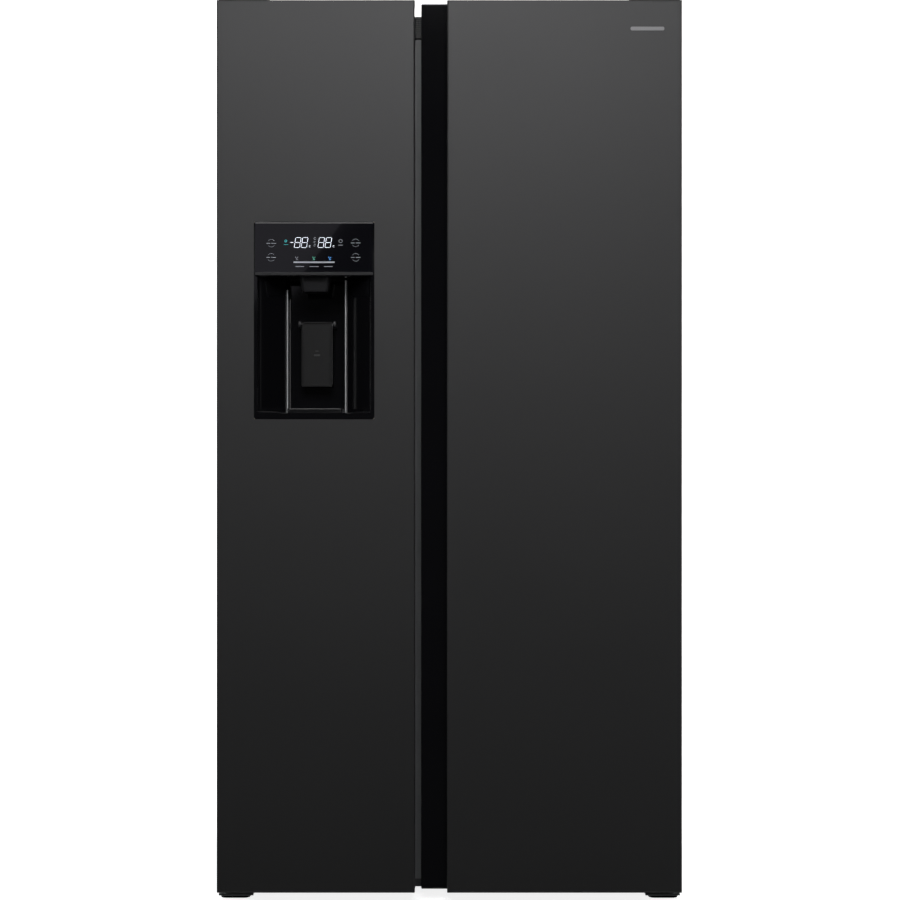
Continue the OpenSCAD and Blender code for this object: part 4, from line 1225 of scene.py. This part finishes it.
    def nozzle(self) -> bpy.types.Object:
        """The chute: rounded sections that taper downwards, turn in at the mouth and run up inside."""
        low, high = span("dispenser_nozzle")
        x, y = self.middle, (low[1] + high[1]) / 2
        sizes = np.array(
            [
                [30, 25, 10, high[2] / MM],
                [30, 25, 10, high[2] / MM - 2],
                [25.6, 21, 9, low[2] / MM + 2],
                [25, 20, 9, low[2] / MM],
                [22.5, 17.5, 8, low[2] / MM],
                [22, 17, 8, low[2] / MM + 2],
                [24, 19, 8, high[2] / MM - 3],
            ]
        )
        half_x, half_y, radius, place = sizes.T * MM
        rows = np.column_stack([x - half_x, x + half_x, y - half_y, y + half_y, radius, place])
        rows = soften_line(rows, 1.2 * MM, 3)
        made = Surface().shell(rounded_sections(rows, Axis.Z, 8))
        return dress(made.build("ice_chute"), Finishes.SATIN_BLACK, self.body, ["dispenser_nozzle"])

    def rails(self) -> bpy.types.Object:
        """The two bright upright trims."""
        low, high = span("dispenser_rails")
        made = Surface()
        for left, top in ((low[0], high[2] - 20 * MM), (high[0] - 3 * MM, high[2] - 1 * MM)):
            made.slab([left, low[1], low[2] + 2 * MM], [left + 3 * MM, high[1], top], Axis.Z, 1.3 * MM,
                      0.6 * MM)
        return dress(made.build("bright_upright_trims"), Finishes.RAIL, self.body, ["dispenser_rails"])

    def paddle(self) -> bpy.types.Object:
        """The paddle: a plate with a raised border and a dished middle, its lug and its pivot bar."""
        low, high = span("dispenser_paddle")
        x, width, y = self.middle, 62 * MM, float(low[1])
        plate_low, plate_high = [x - width / 2, y, low[2]], [x + width / 2, y + 3 * MM, high[2]]
        profile = np.array([[y + 3 * MM, 1 * MM], [y + 2.6 * MM, 0.2 * MM], [y + 0.7 * MM, 0], [y, 0.7 * MM],
                            [y, 2.6 * MM],
                            [y + 1.1 * MM, 3.6 * MM], [y + 1.3 * MM, 8 * MM]])
        made = Surface().shell(rounded_sections(box_rows(plate_low, plate_high, Axis.Y, profile, 3 * MM),
                                                Axis.Y, 6))
        pin_y, pin_z = self.front + 80 * MM, float(high[2]) - 5 * MM
        made.slab([x - 20 * MM, y + 3 * MM, pin_z - 3 * MM], [x + 20 * MM, pin_y, pin_z + 3 * MM], Axis.X,
                  1 * MM, 0.4 * MM)
        reach = float(high[0] - low[0])
        made.shell(round_sections((float(low[0]), pin_y, pin_z), Axis.X,
                                  np.array([[0, 2.4 * MM], [0.6 * MM, 3 * MM], [reach - 0.6 * MM, 3 * MM],
                                            [reach, 2.4 * MM]])))
        # A silver strip down the paddle's right edge only: a painted highlight for the light that this
        # rounded edge catches.
        edge = Surface().slab([x + width / 2 - 1.6 * MM, y + 0.5 * MM, low[2] + 5 * MM],
                              [x + width / 2 + 0.1 * MM, y + 2.4 * MM,
                               high[2] - 5 * MM], Axis.Z, 0.5 * MM, 0.3 * MM)
        dress(edge.build("paddle_painted_highlight_edge"), Finishes.RAIL, "dispenser_paddle_body")
        pads = Surface()
        for low_z, high_z, half in ((1.1165, 1.1185, 3.0), (1.1075, 1.111, 6.0)):
            pads.slab([x - half * MM, y + 0.7 * MM, low_z - 0.03], [x + half * MM, y + 2 * MM, high_z - 0.03],
                      Axis.Y, 0.8 * MM, 0.2 * MM)
        dress(pads.build("paddle_plain_marks"), Finishes.FAINT, "dispenser_paddle_body")
        return dress(made.build("dispenser_push_paddle"), Finishes.PADDLE, "dispenser_paddle_body",
                     ["dispenser_paddle"])

    def tray(self) -> bpy.types.Object:
        """The drip tray: a shallow tub under a row of rounded bars."""
        low, high = span("drip_tray")
        made = Surface().tub(low, high, 6 * MM, 4 * MM, 2 * MM)
        count = 11
        for x in np.linspace(low[0] + 9 * MM, high[0] - 9 * MM, count):
            made.slab([x - 2.2 * MM, low[1] + 2 * MM, high[2] - 3.2 * MM],
                      [x + 2.2 * MM, high[1] - 2 * MM, high[2] - 0.4 * MM], Axis.Y, 1.2 * MM, 0.4 * MM, 3)
        return dress(made.build("drip_tray_grille"), Finishes.TRAY, "drip_tray_body", ["drip_tray"])


@dataclass
class DispenserBulge:
    """The inner liner's block behind the dispenser, which covers its housing on the inside of the door."""

    housing: Surface
    low: Sequence[float]
    high: Sequence[float]

    def build(self) -> bpy.types.Object:
        """Makes the rounded block and takes the housing out of it."""
        made = Surface().slab(self.low, self.high, Axis.Y, 14 * MM, 8 * MM, 6)
        obj = carve(made.build("dispenser_back_bulge"), self.housing)
        return dress(obj, Finishes.LINER, "freezer_door")


# ---------------------------------------------------------------- cabinet


@dataclass
class Cabinet:
    """The outer case: painted side sheets, top and back, the strip between the doors and the rear covers."""

    frame: dict
    body: str = "cabinet"
    sheet: float = 1 * MM

    def build(self) -> None:
        """Makes all the pieces."""
        for side in Side:
            self.side_sheet(side)
        self.top()
        self.back()
        self.strip()
        self.header()
        self.machine_cover()
        softened(self.frame, "base_frame", Finishes.DARK_SHEET, self.body, 0.8 * MM)
        softened(self.frame, "cabinet_foam", Finishes.FOAM, self.body, 0.0)

    def side_sheet(self, side: Side) -> bpy.types.Object:
        """One side sheet with rounded edges, and the front face beside the opening that it folds into."""
        low, high = span("side_panels")
        room_low, room_high = span("fridge_liner")
        outer, folded, fold = high[0], high[0] - self.sheet, room_high[0]
        made = Surface()
        for near, far, front, rear, foot, top in (
            (folded, outer, low[1], high[1], low[2], high[2]),
            (fold, folded + 0.4 * MM, low[1], low[1] + self.sheet, room_low[2], room_high[2]),
        ):
            ends = sorted((near * side.value, far * side.value))
            made.slab([ends[0], front, foot], [ends[1], rear, top], Axis.Z, 0.45 * MM, 0.3 * MM, 3)
        obj = made.build(f"side_sheet_{side.name.lower()}")
        return dress(obj, Finishes.CABINET, self.body, ["side_panels"])

    def beads(self, made: Surface, axis: Axis, face: float,
              lines: Sequence[tuple[float, float, float, float]]) -> None:
        """Adds pressed beads to a sheet: long rounded pads with wide rims.

        Args:
            made: The surface that takes them.
            axis: The sheet's normal.
            face: Where the sheet's outer face is.
            lines: Low and high limit on the first section axis, then on the second.
        """
        for a_low, a_high, b_low, b_high in lines:
            profile = np.array([[-0.4, 0], [0.0, 0], [0.5, 0.9], [1.2, 2.2], [1.6, 4.2], [1.6, 6.0]]) * MM
            rows = np.column_stack(
                [a_low + profile[:, 1], a_high - profile[:, 1], b_low + profile[:, 1], b_high - profile[:, 1],
                 np.maximum(8 * MM - profile[:, 1], 1 * MM), face + profile[:, 0]]
            )
            made.shell(rounded_sections(rows, axis))

    def top(self) -> None:
        """The top sheet with four pressed beads."""
        softened(self.frame, "top_panel", Finishes.CABINET, self.body, 0.8 * MM)
        low, high = span("top_panel")
        made = Surface()
        spots = np.linspace(low[1] + 150 * MM, high[1] - 60 * MM, 4)
        self.beads(made, Axis.Z, high[2],
                   [(low[0] + 60 * MM, high[0] - 60 * MM, y, y + 18 * MM) for y in spots])
        dress(made.build("top_sheet_beads"), Finishes.CABINET, self.body)

    def back(self) -> None:
        """The back sheet with six tall pressed beads and its screws along the top, the foot and both sides.
        """
        softened(self.frame, "back_panel", Finishes.SHEET, self.body, 0.2 * MM)
        low, high = span("back_panel")
        made, screws = Surface(), Surface()
        top, foot = high[2] - 160 * MM, low[2] + 150 * MM
        columns = (-310, -190, -70, 70, 190, 310)
        self.beads(made, Axis.Y, high[1], [((x - 9) * MM, (x + 9) * MM, foot, top) for x in columns])
        dress(made.build("back_sheet_beads"), Finishes.SHEET, self.body)
        for x in np.linspace(low[0] + 14 * MM, high[0] - 14 * MM, 7):
            self.screw(screws, (x, high[1], high[2] - 12 * MM))
            self.screw(screws, (x, high[1], low[2] + 10 * MM))
        for z in np.linspace(low[2] + 200 * MM, high[2] - 200 * MM, 5):
            for x in (low[0] + 10 * MM, high[0] - 10 * MM):
                self.screw(screws, (x, high[1], z))
        dress(screws.build("back_sheet_screws"), Finishes.ZINC, self.body)

    @staticmethod
    def screw(made: Surface, centre: Sequence[float], axis: Axis = Axis.Y, radius: float = 4 * MM) -> None:
        """Adds a flanged screw head: a domed disc with a sunk middle."""
        profile = np.array([[-0.3, 1.0], [0.0, 1.0], [0.5, 0.97], [1.3, 0.72], [1.9, 0.5], [2.0, 0.3],
                            [1.0, 0.22]])
        made.shell(round_sections(centre, axis, profile * [MM, radius], 18))

    def strip(self) -> bpy.types.Object:
        """The grey strip between the doors: a plain bar with rounded edges, carried up."""
        low, high = span("mullion_cover")
        made = Surface().slab(low, high, Axis.Z, 0.9 * MM, 0.4 * MM)
        return dress(made.build("centre_strip"), Finishes.GREY_STRIP, self.body, ["mullion_cover"])

    def header(self) -> bpy.types.Object:
        """The black cover above the doors' seals, with fine ribs across it."""
        low, high = span("header_cover")
        made = Surface().slab(low + [0, 1 * MM, 0], high, Axis.Y, 1.5 * MM, 0.5 * MM)
        for z in np.arange(low[2] + 4 * MM, high[2] - 3 * MM, 4.2 * MM):
            made.slab([low[0] + 6 * MM, low[1] + 0.2 * MM, z], [high[0] - 6 * MM, high[1], z + 2 * MM],
                      Axis.X, 0.8 * MM, 0.4 * MM, 2)
        return dress(made.build("header_cover_ribbed"), Finishes.GLOSS_BLACK, self.body, ["header_cover"])

    def machine_cover(self) -> None:
        """The slotted cover over the machine space, and its screws."""
        softened(self.frame, "machine_cover", Finishes.SHEET, self.body, 0.3 * MM)
        low, high = span("machine_cover")
        screws = Surface()
        for x in np.linspace(low[0] + 12 * MM, high[0] - 12 * MM, 6):
            for z in (low[2] + 8 * MM, high[2] - 8 * MM):
                self.screw(screws, (x, high[1], z))
        dress(screws.build("machine_cover_screws"), Finishes.ZINC, self.body)


@dataclass
class Room:
    """A compartment: its moulded liner with the step over the machine space, and the ribs for the shelves."""

    key: str
    wall: float = 2 * MM
    corner: float = 22 * MM
    ledge_y: float = 73.5 * MM
    ledge_z: float = 302 * MM
    rib_out: float = 8 * MM

    def build(self) -> bpy.types.Object:
        """Makes the liner: sections from the outside of the rear wall to the front flange and back in."""
        low, high = span(f"{self.key}_liner")
        outer = np.array([low[0], high[0], low[2], high[2]])
        inwards = np.array([1.0, -1.0, 1.0, -1.0])
        inner = outer + self.wall * inwards
        step = np.array([0.0, 0.0, self.ledge_z - inner[2], 0.0])
        back = high[1] - self.wall
        outside = np.array(
            [
                [*(outer + step + 60 * MM * inwards), self.corner, high[1]],
                [*(outer + step), self.corner, high[1] - 0.4 * MM],
                [*(outer + step), self.corner, self.ledge_y + 1 * MM],
                [*outer, self.corner, self.ledge_y - 0.5 * MM],
                [*outer, 2 * MM, low[1]],
            ]
        )
        inside = np.array(
            [
                [*outer, 2 * MM, low[1]],
                [*inner, self.corner * 0.4, low[1]],
                [*(inner + 1 * MM * inwards), self.corner, low[1] + 60 * MM],
                [*(inner + 1.2 * MM * inwards), self.corner, self.ledge_y - 1.5 * MM],
                [*(inner + step + 1.2 * MM * inwards), self.corner, self.ledge_y],
                [*(inner + step + 1.4 * MM * inwards), self.corner, back],
                [*(inner + step + 60 * MM * inwards), self.corner, back],
            ]
        )
        rows = np.vstack([outside[:-1], soften_line(inside, 13 * MM, 5)])
        made = Surface().shell(rounded_sections(rows, Axis.Y, 7))
        self.ribs(made, inner, back)
        obj = made.build(f"{self.key}_room_liner")
        return dress(obj, Finishes.LINER, "cabinet", [f"{self.key}_liner"])

    def ribs(self, made: Surface, inner: Array, back: float) -> None:
        """Adds the rounded rails under each shelf and the upper drawer, and the thick ones on the floor."""
        shelf_low, shelf_high = span(f"{self.key}_shelves")
        drawer_low, _ = span("crisper_upper")
        floor_low, _ = span("crisper_lower")
        tops = [*np.linspace(shelf_low[2], shelf_high[2] - 4 * MM, 4), drawer_low[2] - 0.3 * MM]
        rails = [(z - 8 * MM, z - 0.3 * MM, back - 62 * MM) for z in tops]
        rails.append((inner[2], floor_low[2] - 0.3 * MM, self.ledge_y - 4 * MM))
        for low, high, rear in rails:
            for start, end in ((inner[0] - 0.5 * MM, inner[0] + self.rib_out),
                               (inner[1] - self.rib_out, inner[1] + 0.5 * MM)):
                made.slab([start, shelf_low[1] + 14 * MM, low], [end, rear, high], Axis.Y, 2.4 * MM, 2 * MM)


@dataclass
class Shelves:
    """The glass shelves of a compartment, each in a slim frame with a silver front edge."""

    key: str
    glass: float = 4 * MM

    def build(self) -> None:
        """Makes the glass plates, their front and rear trims and the side rims."""
        low, high = span(f"{self.key}_shelves")
        plates, trims, rims = Surface(), Surface(), Surface()
        for z in np.linspace(low[2], high[2] - self.glass, 4):
            plates.slab([low[0] + 3 * MM, low[1] + 5 * MM, z + 0.3 * MM],
                        [high[0] - 3 * MM, high[1] - 5 * MM,
                         z + self.glass - 0.2 * MM], Axis.Z, 4 * MM, 0.5 * MM)
            trims.slab([low[0], low[1], z - 5 * MM], [high[0], low[1] + 9 * MM, z + 7 * MM], Axis.X, 3.4 * MM,
                       1.2 * MM, 6)
            rims.slab([low[0], high[1] - 9 * MM, z - 1 * MM], [high[0], high[1], z + 9 * MM], Axis.X,
                      2.4 * MM, 1.2 * MM)
            for x in (low[0], high[0] - 6 * MM):
                rims.slab([x, low[1] + 8 * MM, z - 0.2 * MM], [x + 6 * MM, high[1] - 8 * MM, z + 6 * MM],
                          Axis.Y, 2 * MM, 1 * MM)
        dress(plates.build(f"{self.key}_glass_shelves"), Finishes.SHELF_GLASS, "cabinet",
              [f"{self.key}_shelves"])
        dress(trims.build(f"{self.key}_shelf_trims"), Finishes.TRIM, "cabinet")
        dress(rims.build(f"{self.key}_shelf_rims"), Finishes.PALE_PLASTIC, "cabinet")


@dataclass
class Drawer:
    """A clear drawer with a thick front, a scooped pull and a silver edge."""

    node: str
    front: float = 14 * MM

    def build(self) -> None:
        """Makes the tub, the front and the edge."""
        low, high = span(self.node)
        middle, body = float(low[0] + high[0]) / 2, f"{self.node}_body"
        made = Surface().tub(
            [low[0] + 4 * MM, low[1] + self.front - 1 * MM, low[2]],
            [high[0] - 4 * MM, high[1], high[2] - 10 * MM],
            14 * MM,
            2.5 * MM,
            9 * MM,
        )
        dress(made.build(f"{self.node}_tub"), Finishes.FROSTED, body, [self.node])
        face = Surface().slab(low, [high[0], low[1] + self.front, high[2]], Axis.Y, 9 * MM, 3 * MM,
                              6).build(f"{self.node}_front")
        pull = Surface().slab(
            [middle - 62 * MM, low[1] - 9 * MM, high[2] - 36 * MM],
            [middle + 62 * MM, low[1] + self.front - 3 * MM, high[2] - 12 * MM],
            Axis.Y,
            9 * MM,
            3 * MM,
            6,
        )
        dress(carve(face, pull), Finishes.FROSTED, body)
        edge = Surface().slab([low[0] + 12 * MM, low[1] - 0.0 * MM, high[2] - 8 * MM],
                              [high[0] - 12 * MM, low[1] + 5 * MM, high[2] - 2 * MM], Axis.X, 2 * MM, 1 * MM)
        dress(edge.build(f"{self.node}_edge"), Finishes.TRIM, body)


@dataclass
class DoorBins:
    """The bins on the inside of a door, each a clear tub with a thick silver lip."""

    key: str
    tops: Sequence[tuple[float, float]]

    def build(self) -> None:
        """Makes the tubs and their lips."""
        low, high = span(f"{self.key}_door_bins")
        tubs, lips = Surface(), Surface()
        for bottom, top in self.tops:
            tubs.tub([low[0], low[1], bottom], [high[0], high[1], top], 16 * MM, 2.5 * MM, 8 * MM)
            lips.slab([low[0] + 6 * MM, high[1] - 4.6 * MM, top - 16 * MM],
                      [high[0] - 6 * MM, high[1] + 0.4 * MM, top - 3 * MM], Axis.X, 2 * MM, 2 * MM, 5)
        dress(tubs.build(f"{self.key}_bin_tubs"), Finishes.CLEAR, f"{self.key}_door",
              [f"{self.key}_door_bins"])
        dress(lips.build(f"{self.key}_bin_lips"), Finishes.TRIM, f"{self.key}_door")


@dataclass
class DairyBox:
    """The lidded box at the top of the fridge door."""

    cheek: float = 3 * MM

    def build(self, frame: dict) -> None:
        """Makes the two cheeks and the lid."""
        low, high = span("fridge_door_bins")
        lid_low, _ = span("dairy_lid")
        cheeks = Surface()
        for x in (low[0], high[0] - self.cheek):
            cheeks.slab([x, low[1] + 10 * MM, lid_low[2] + 30 * MM],
                        [x + self.cheek, high[1] - 10 * MM, high[2]], Axis.X, 16 * MM, 0.8 * MM, 6)
        dress(cheeks.build("dairy_box_cheeks"), Finishes.CLEAR, "fridge_door")
        softened(frame, "dairy_lid", Finishes.CLEAR, "dairy_lid_body", 0.8 * MM)


@dataclass
class PlainPieces:
    """Pieces whose CAD shape is already the real one, which only need soft edges and a finish."""

    frame: dict

    def build(self) -> None:
        """Softens and dresses each piece."""
        rows = (
            ("compressor", Finishes.ENAMEL, "cabinet", 0.0),
            ("condenser", Finishes.ENAMEL, "cabinet", 0.0),
            ("drain_pan", Finishes.MATT_BLACK, "cabinet", 1.0),
            ("fan_shroud", Finishes.MATT_BLACK, "cabinet", 0.6),
            ("condenser_fan", Finishes.MATT_BLACK, "condenser_fan_body", 0.3),
            ("evaporator", Finishes.FIN, "cabinet", 0.0),
            ("freezer_duct_cover", Finishes.LINER, "cabinet", 1.0),
            ("evaporator_fan", Finishes.SATIN_BLACK, "evaporator_fan_body", 0.3),
            ("fridge_duct_cover", Finishes.PALE_PLASTIC, "cabinet", 1.0),
            ("cabinet_lamps", Finishes.LAMP, "cabinet", 1.0),
            ("ice_maker", Finishes.PALE_PLASTIC, "cabinet", 0.8),
            ("top_hinges", Finishes.ZINC, "cabinet", 0.4),
            ("bottom_hinges", Finishes.ZINC, "cabinet", 0.4),
            ("hinge_covers", Finishes.MATT_BLACK, "cabinet", 2.5),
            ("roller_left", Finishes.MATT_BLACK, "roller_left_body", 1.0),
            ("roller_right", Finishes.MATT_BLACK, "roller_right_body", 1.0),
            ("wall_spacers", Finishes.MATT_BLACK, "cabinet", 1.5),
            ("water_inlet", Finishes.BRASS, "cabinet", 0.4),
            ("cord_gland", Finishes.MATT_BLACK, "cabinet", 0.8),
            ("ice_bucket", Finishes.CLEAR, "freezer_door", 0.8),
            ("ice_auger", Finishes.ZINC, "ice_auger_body", 0.3),
        )
        for node, finish, body, width in rows:
            softened(self.frame, node, finish, body, width * MM)


@dataclass
class Foot:
    """A levelling foot: a pad with soft corners, a hexagonal collar and a threaded stud."""

    node: str
    pad: float = 13.6 * MM
    stud: float = 4.9 * MM
    pitch: float = 2 * MM

    def build(self) -> bpy.types.Object:
        """Makes the pad as a slab, the collar as a six-sided prism and the thread as ridged circles."""
        low, high = span(self.node)
        centre = ((low[0] + high[0]) / 2, (low[1] + high[1]) / 2, low[2])
        made = Surface().slab(low, [high[0], high[1], low[2] + 7 * MM], Axis.Z, 12 * MM, 1.5 * MM, 6)
        made.slab(low + [4 * MM, 4 * MM, 6 * MM], [high[0] - 4 * MM, high[1] - 4 * MM, low[2] + self.pad],
                  Axis.Z, 10 * MM, 1.2 * MM, 6)
        collar = np.array([[0, 8.2], [0.6, 9.0], [4.4, 9.0], [5, 8.2]]) * MM + [self.pad - 0.4 * MM, 0]
        made.shell(round_sections(centre, Axis.Z, collar, 6))
        rise = np.arange(self.pad, high[2] - low[2], self.pitch / 2)
        thread = np.column_stack([rise, np.where(np.arange(len(rise)) % 2, self.stud, self.stud - 0.7 * MM)])
        made.shell(round_sections(centre, Axis.Z, thread, 24))
        return dress(made.build(f"{self.node}_pad_and_stud"), Finishes.TRAY, f"{self.node}_body", [self.node])


# ---------------------------------------------------------------- studio


@dataclass
class Studio:
    """Pale floor, curved backdrop, soft lights and the camera."""

    eye: tuple[float, float, float] = (0.0013, -3.6215, 0.890)
    lens: float = 67.5
    exposure: float = 0.0

    def build(self) -> None:
        """Makes everything and sets the view transform."""
        self.cove()
        self.lights()
        self.camera()
        scene = bpy.context.scene
        scene.view_settings.view_transform = "Standard"
        scene.view_settings.exposure = self.exposure

    def cove(self) -> None:
        """The floor and the backdrop as one swept curve: flat, then a quarter circle, then upright."""
        t = np.linspace(0, np.pi / 2, 24)
        radius, rear = 1.6, 2.6
        curve = np.column_stack([rear + radius * np.sin(t), radius * (1 - np.cos(t))])
        path = np.vstack([[-14.0, 0.0], [rear, 0.0], curve[1:], [rear + radius, 9.0]])
        x = np.array([-16.0, 16.0])
        points = np.empty((len(path), 2, 3))
        points[..., 0], points[..., 1], points[..., 2] = x, path[:, :1], path[:, 1:]
        obj = Surface().open_grid(points, np.ones((len(path) - 1, 1), bool)).build("studio_cove")
        finish = Finish("studio_pale", (0.6, 0.6, 0.6), 0.7, tone=0.01, marks=0.02, grain=0.02, glow=1.4)
        obj.data.materials.append(finish.material())
        obj.visible_glossy = obj.visible_diffuse = False

    def area(self, name: str, place: Sequence[float], aim: Sequence[float], size: Span, power: float) -> None:
        """Adds a rectangular soft light that points at a place."""
        data = bpy.data.lights.new(name, "AREA")
        data.shape, data.size, data.size_y, data.energy = "RECTANGLE", size[0], size[1], power
        light = bpy.data.objects.new(name, data)
        light.location = place
        light.rotation_mode = "QUATERNION"
        light.rotation_quaternion = (Vector(aim) - Vector(place)).to_track_quat("-Z", "Y")
        bpy.context.scene.collection.objects.link(light)

    def lights(self) -> None:
        """A broad light high in front, softer ones at the sides and behind, and one for the backdrop."""
        self.area("light_above_front", (0.0, -5.2, 4.5), (0.0, -0.3, 1.2), (2.8, 2.4), 215.0)
        self.area("light_left", (-4.4, -0.5, 1.4), (0.0, 0.0, 0.9), (1.4, 2.6), 45.0)
        self.area("light_right", (4.4, 0.2, 1.4), (0.0, 0.3, 0.9), (1.4, 2.6), 42.0)
        self.area("light_front_left", (-3.3, -4.7, 1.35), (0.0, -0.3, 1.1), (0.8, 1.2), 9.0)
        self.area("light_front_right", (3.3, -4.7, 1.35), (0.0, -0.3, 1.1), (0.8, 1.2), 17.0)
        self.area("light_behind", (0.5, 4.6, 3.6), (0.0, 0.3, 1.0), (3.0, 1.6), 110.0)
        self.area("light_backdrop", (0.0, 1.4, 5.2), (0.0, 4.0, 1.2), (7.0, 1.0), 260.0)
        self.card()
        self.surround()

    @staticmethod
    def card() -> None:
        """A dim slanted card that only reflections see, for the sheen on the touch panel."""
        corners = np.array([[-1.5, 1.62], [-0.81, 1.62], [-0.4, 2.15], [-1.5, 2.15]])
        mesh = bpy.data.meshes.new("reflector_card")
        mesh.from_pydata(np.insert(corners, 1, -5.2, axis=1).tolist(), [], [[0, 1, 2, 3]])
        obj = bpy.data.objects.new("reflector_card", mesh)
        material = bpy.data.materials.new("dim_card")
        material.use_nodes = True
        shader = material.node_tree.nodes["Principled BSDF"]
        shader.inputs["Base Color"].default_value = (0.0, 0.0, 0.0, 1.0)
        shader.inputs["Emission Color"].default_value = (0.9, 0.88, 1.0, 1.0)
        shader.inputs["Emission Strength"].default_value = 0.2
        mesh.materials.append(material)
        obj.visible_camera = obj.visible_diffuse = obj.visible_shadow = False
        bpy.context.scene.collection.objects.link(obj)

    @staticmethod
    def surround() -> None:
        """An even pale surround for the camera, which lights less from the front than from behind."""
        world = bpy.data.worlds.new("studio_world")
        bpy.context.scene.world = world
        world.use_nodes = True
        tree = world.node_tree
        background = tree.nodes["Background"]
        background.inputs["Color"].default_value = (1.0, 1.0, 1.0, 1.0)
        split = tree.nodes.new("ShaderNodeSeparateXYZ")
        tree.links.new(tree.nodes.new("ShaderNodeTexCoord").outputs["Generated"], split.inputs[0])
        fade = tree.nodes.new("ShaderNodeMapRange")
        for label, value in (("From Min", -0.35), ("From Max", 0.6), ("To Min", 0.014), ("To Max", 0.5)):
            fade.inputs[label].default_value = value
        tree.links.new(split.outputs["Y"], fade.inputs["Value"])
        mix = tree.nodes.new("ShaderNodeMix")
        mix.inputs["B"].default_value = 0.95
        tree.links.new(tree.nodes.new("ShaderNodeLightPath").outputs["Is Camera Ray"], mix.inputs["Factor"])
        tree.links.new(fade.outputs["Result"], mix.inputs["A"])
        tree.links.new(mix.outputs["Result"], background.inputs["Strength"])

    def camera(self) -> None:
        """A level camera in front of the doors."""
        data = bpy.data.cameras.new("camera")
        data.lens, data.sensor_width = self.lens, 36.0
        camera = bpy.data.objects.new("camera", data)
        camera.location = self.eye
        camera.rotation_euler = (math.pi / 2, 0.0, 0.0)
        bpy.context.scene.collection.objects.link(camera)
        bpy.context.scene.camera = camera


def main() -> None:
    """Builds the refrigerator round its frame, then the studio."""
    logging.basicConfig(level=logging.INFO, format="%(name)s %(message)s", stream=sys.stdout)
    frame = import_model()
    dispenser = Dispenser()
    DoorShell("freezer", Side.LEFT).build(dispenser.window(), dispenser.solid())
    fridge_door = DoorShell("fridge", Side.RIGHT)
    fridge_door.build()
    fridge_door.badge()
    dispenser.build()
    housing_low, housing_high = span("dispenser_housing")
    bulge_low = [span("freezer_door_bins")[0][0] - BULGE_REACH, BULGE_FRONT, housing_low[2] - BULGE_MARGIN]
    bulge_high = [span("freezer_door_bins")[1][0], span("freezer_door_liner")[1][1],
                  housing_high[2] + BULGE_MARGIN]
    DispenserBulge(dispenser.solid(), bulge_low, bulge_high).build()
    Cabinet(frame).build()
    for key in ("freezer", "fridge"):
        Room(key).build()
        Shelves(key).build()
    for node in ("freezer_drawer_upper", "freezer_drawer_lower", "crisper_upper", "crisper_lower"):
        Drawer(node).build()
    freezer_bins, fridge_bins = span("freezer_door_bins"), span("fridge_door_bins")
    DoorBins("freezer",
             [(z, z + BIN_HEIGHT) for z in np.linspace(freezer_bins[0][2], freezer_bins[1][2] - BIN_HEIGHT,
                                                       2)]).build()
    levels = np.linspace(fridge_bins[0][2], fridge_bins[0][2] + 3 * BIN_PITCH, 4)
    tray = span("dairy_lid")[0][2] - DAIRY_TRAY_DROP
    DoorBins("fridge", [*((z, z + BIN_HEIGHT) for z in levels), (tray, tray + DAIRY_TRAY_HEIGHT)]).build()
    DairyBox().build(frame)
    PlainPieces(frame).build()
    for node in ("leveller_left", "leveller_right"):
        Foot(node).build()
    Studio().build()
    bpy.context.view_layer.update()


if __name__ == "__main__":
    main()
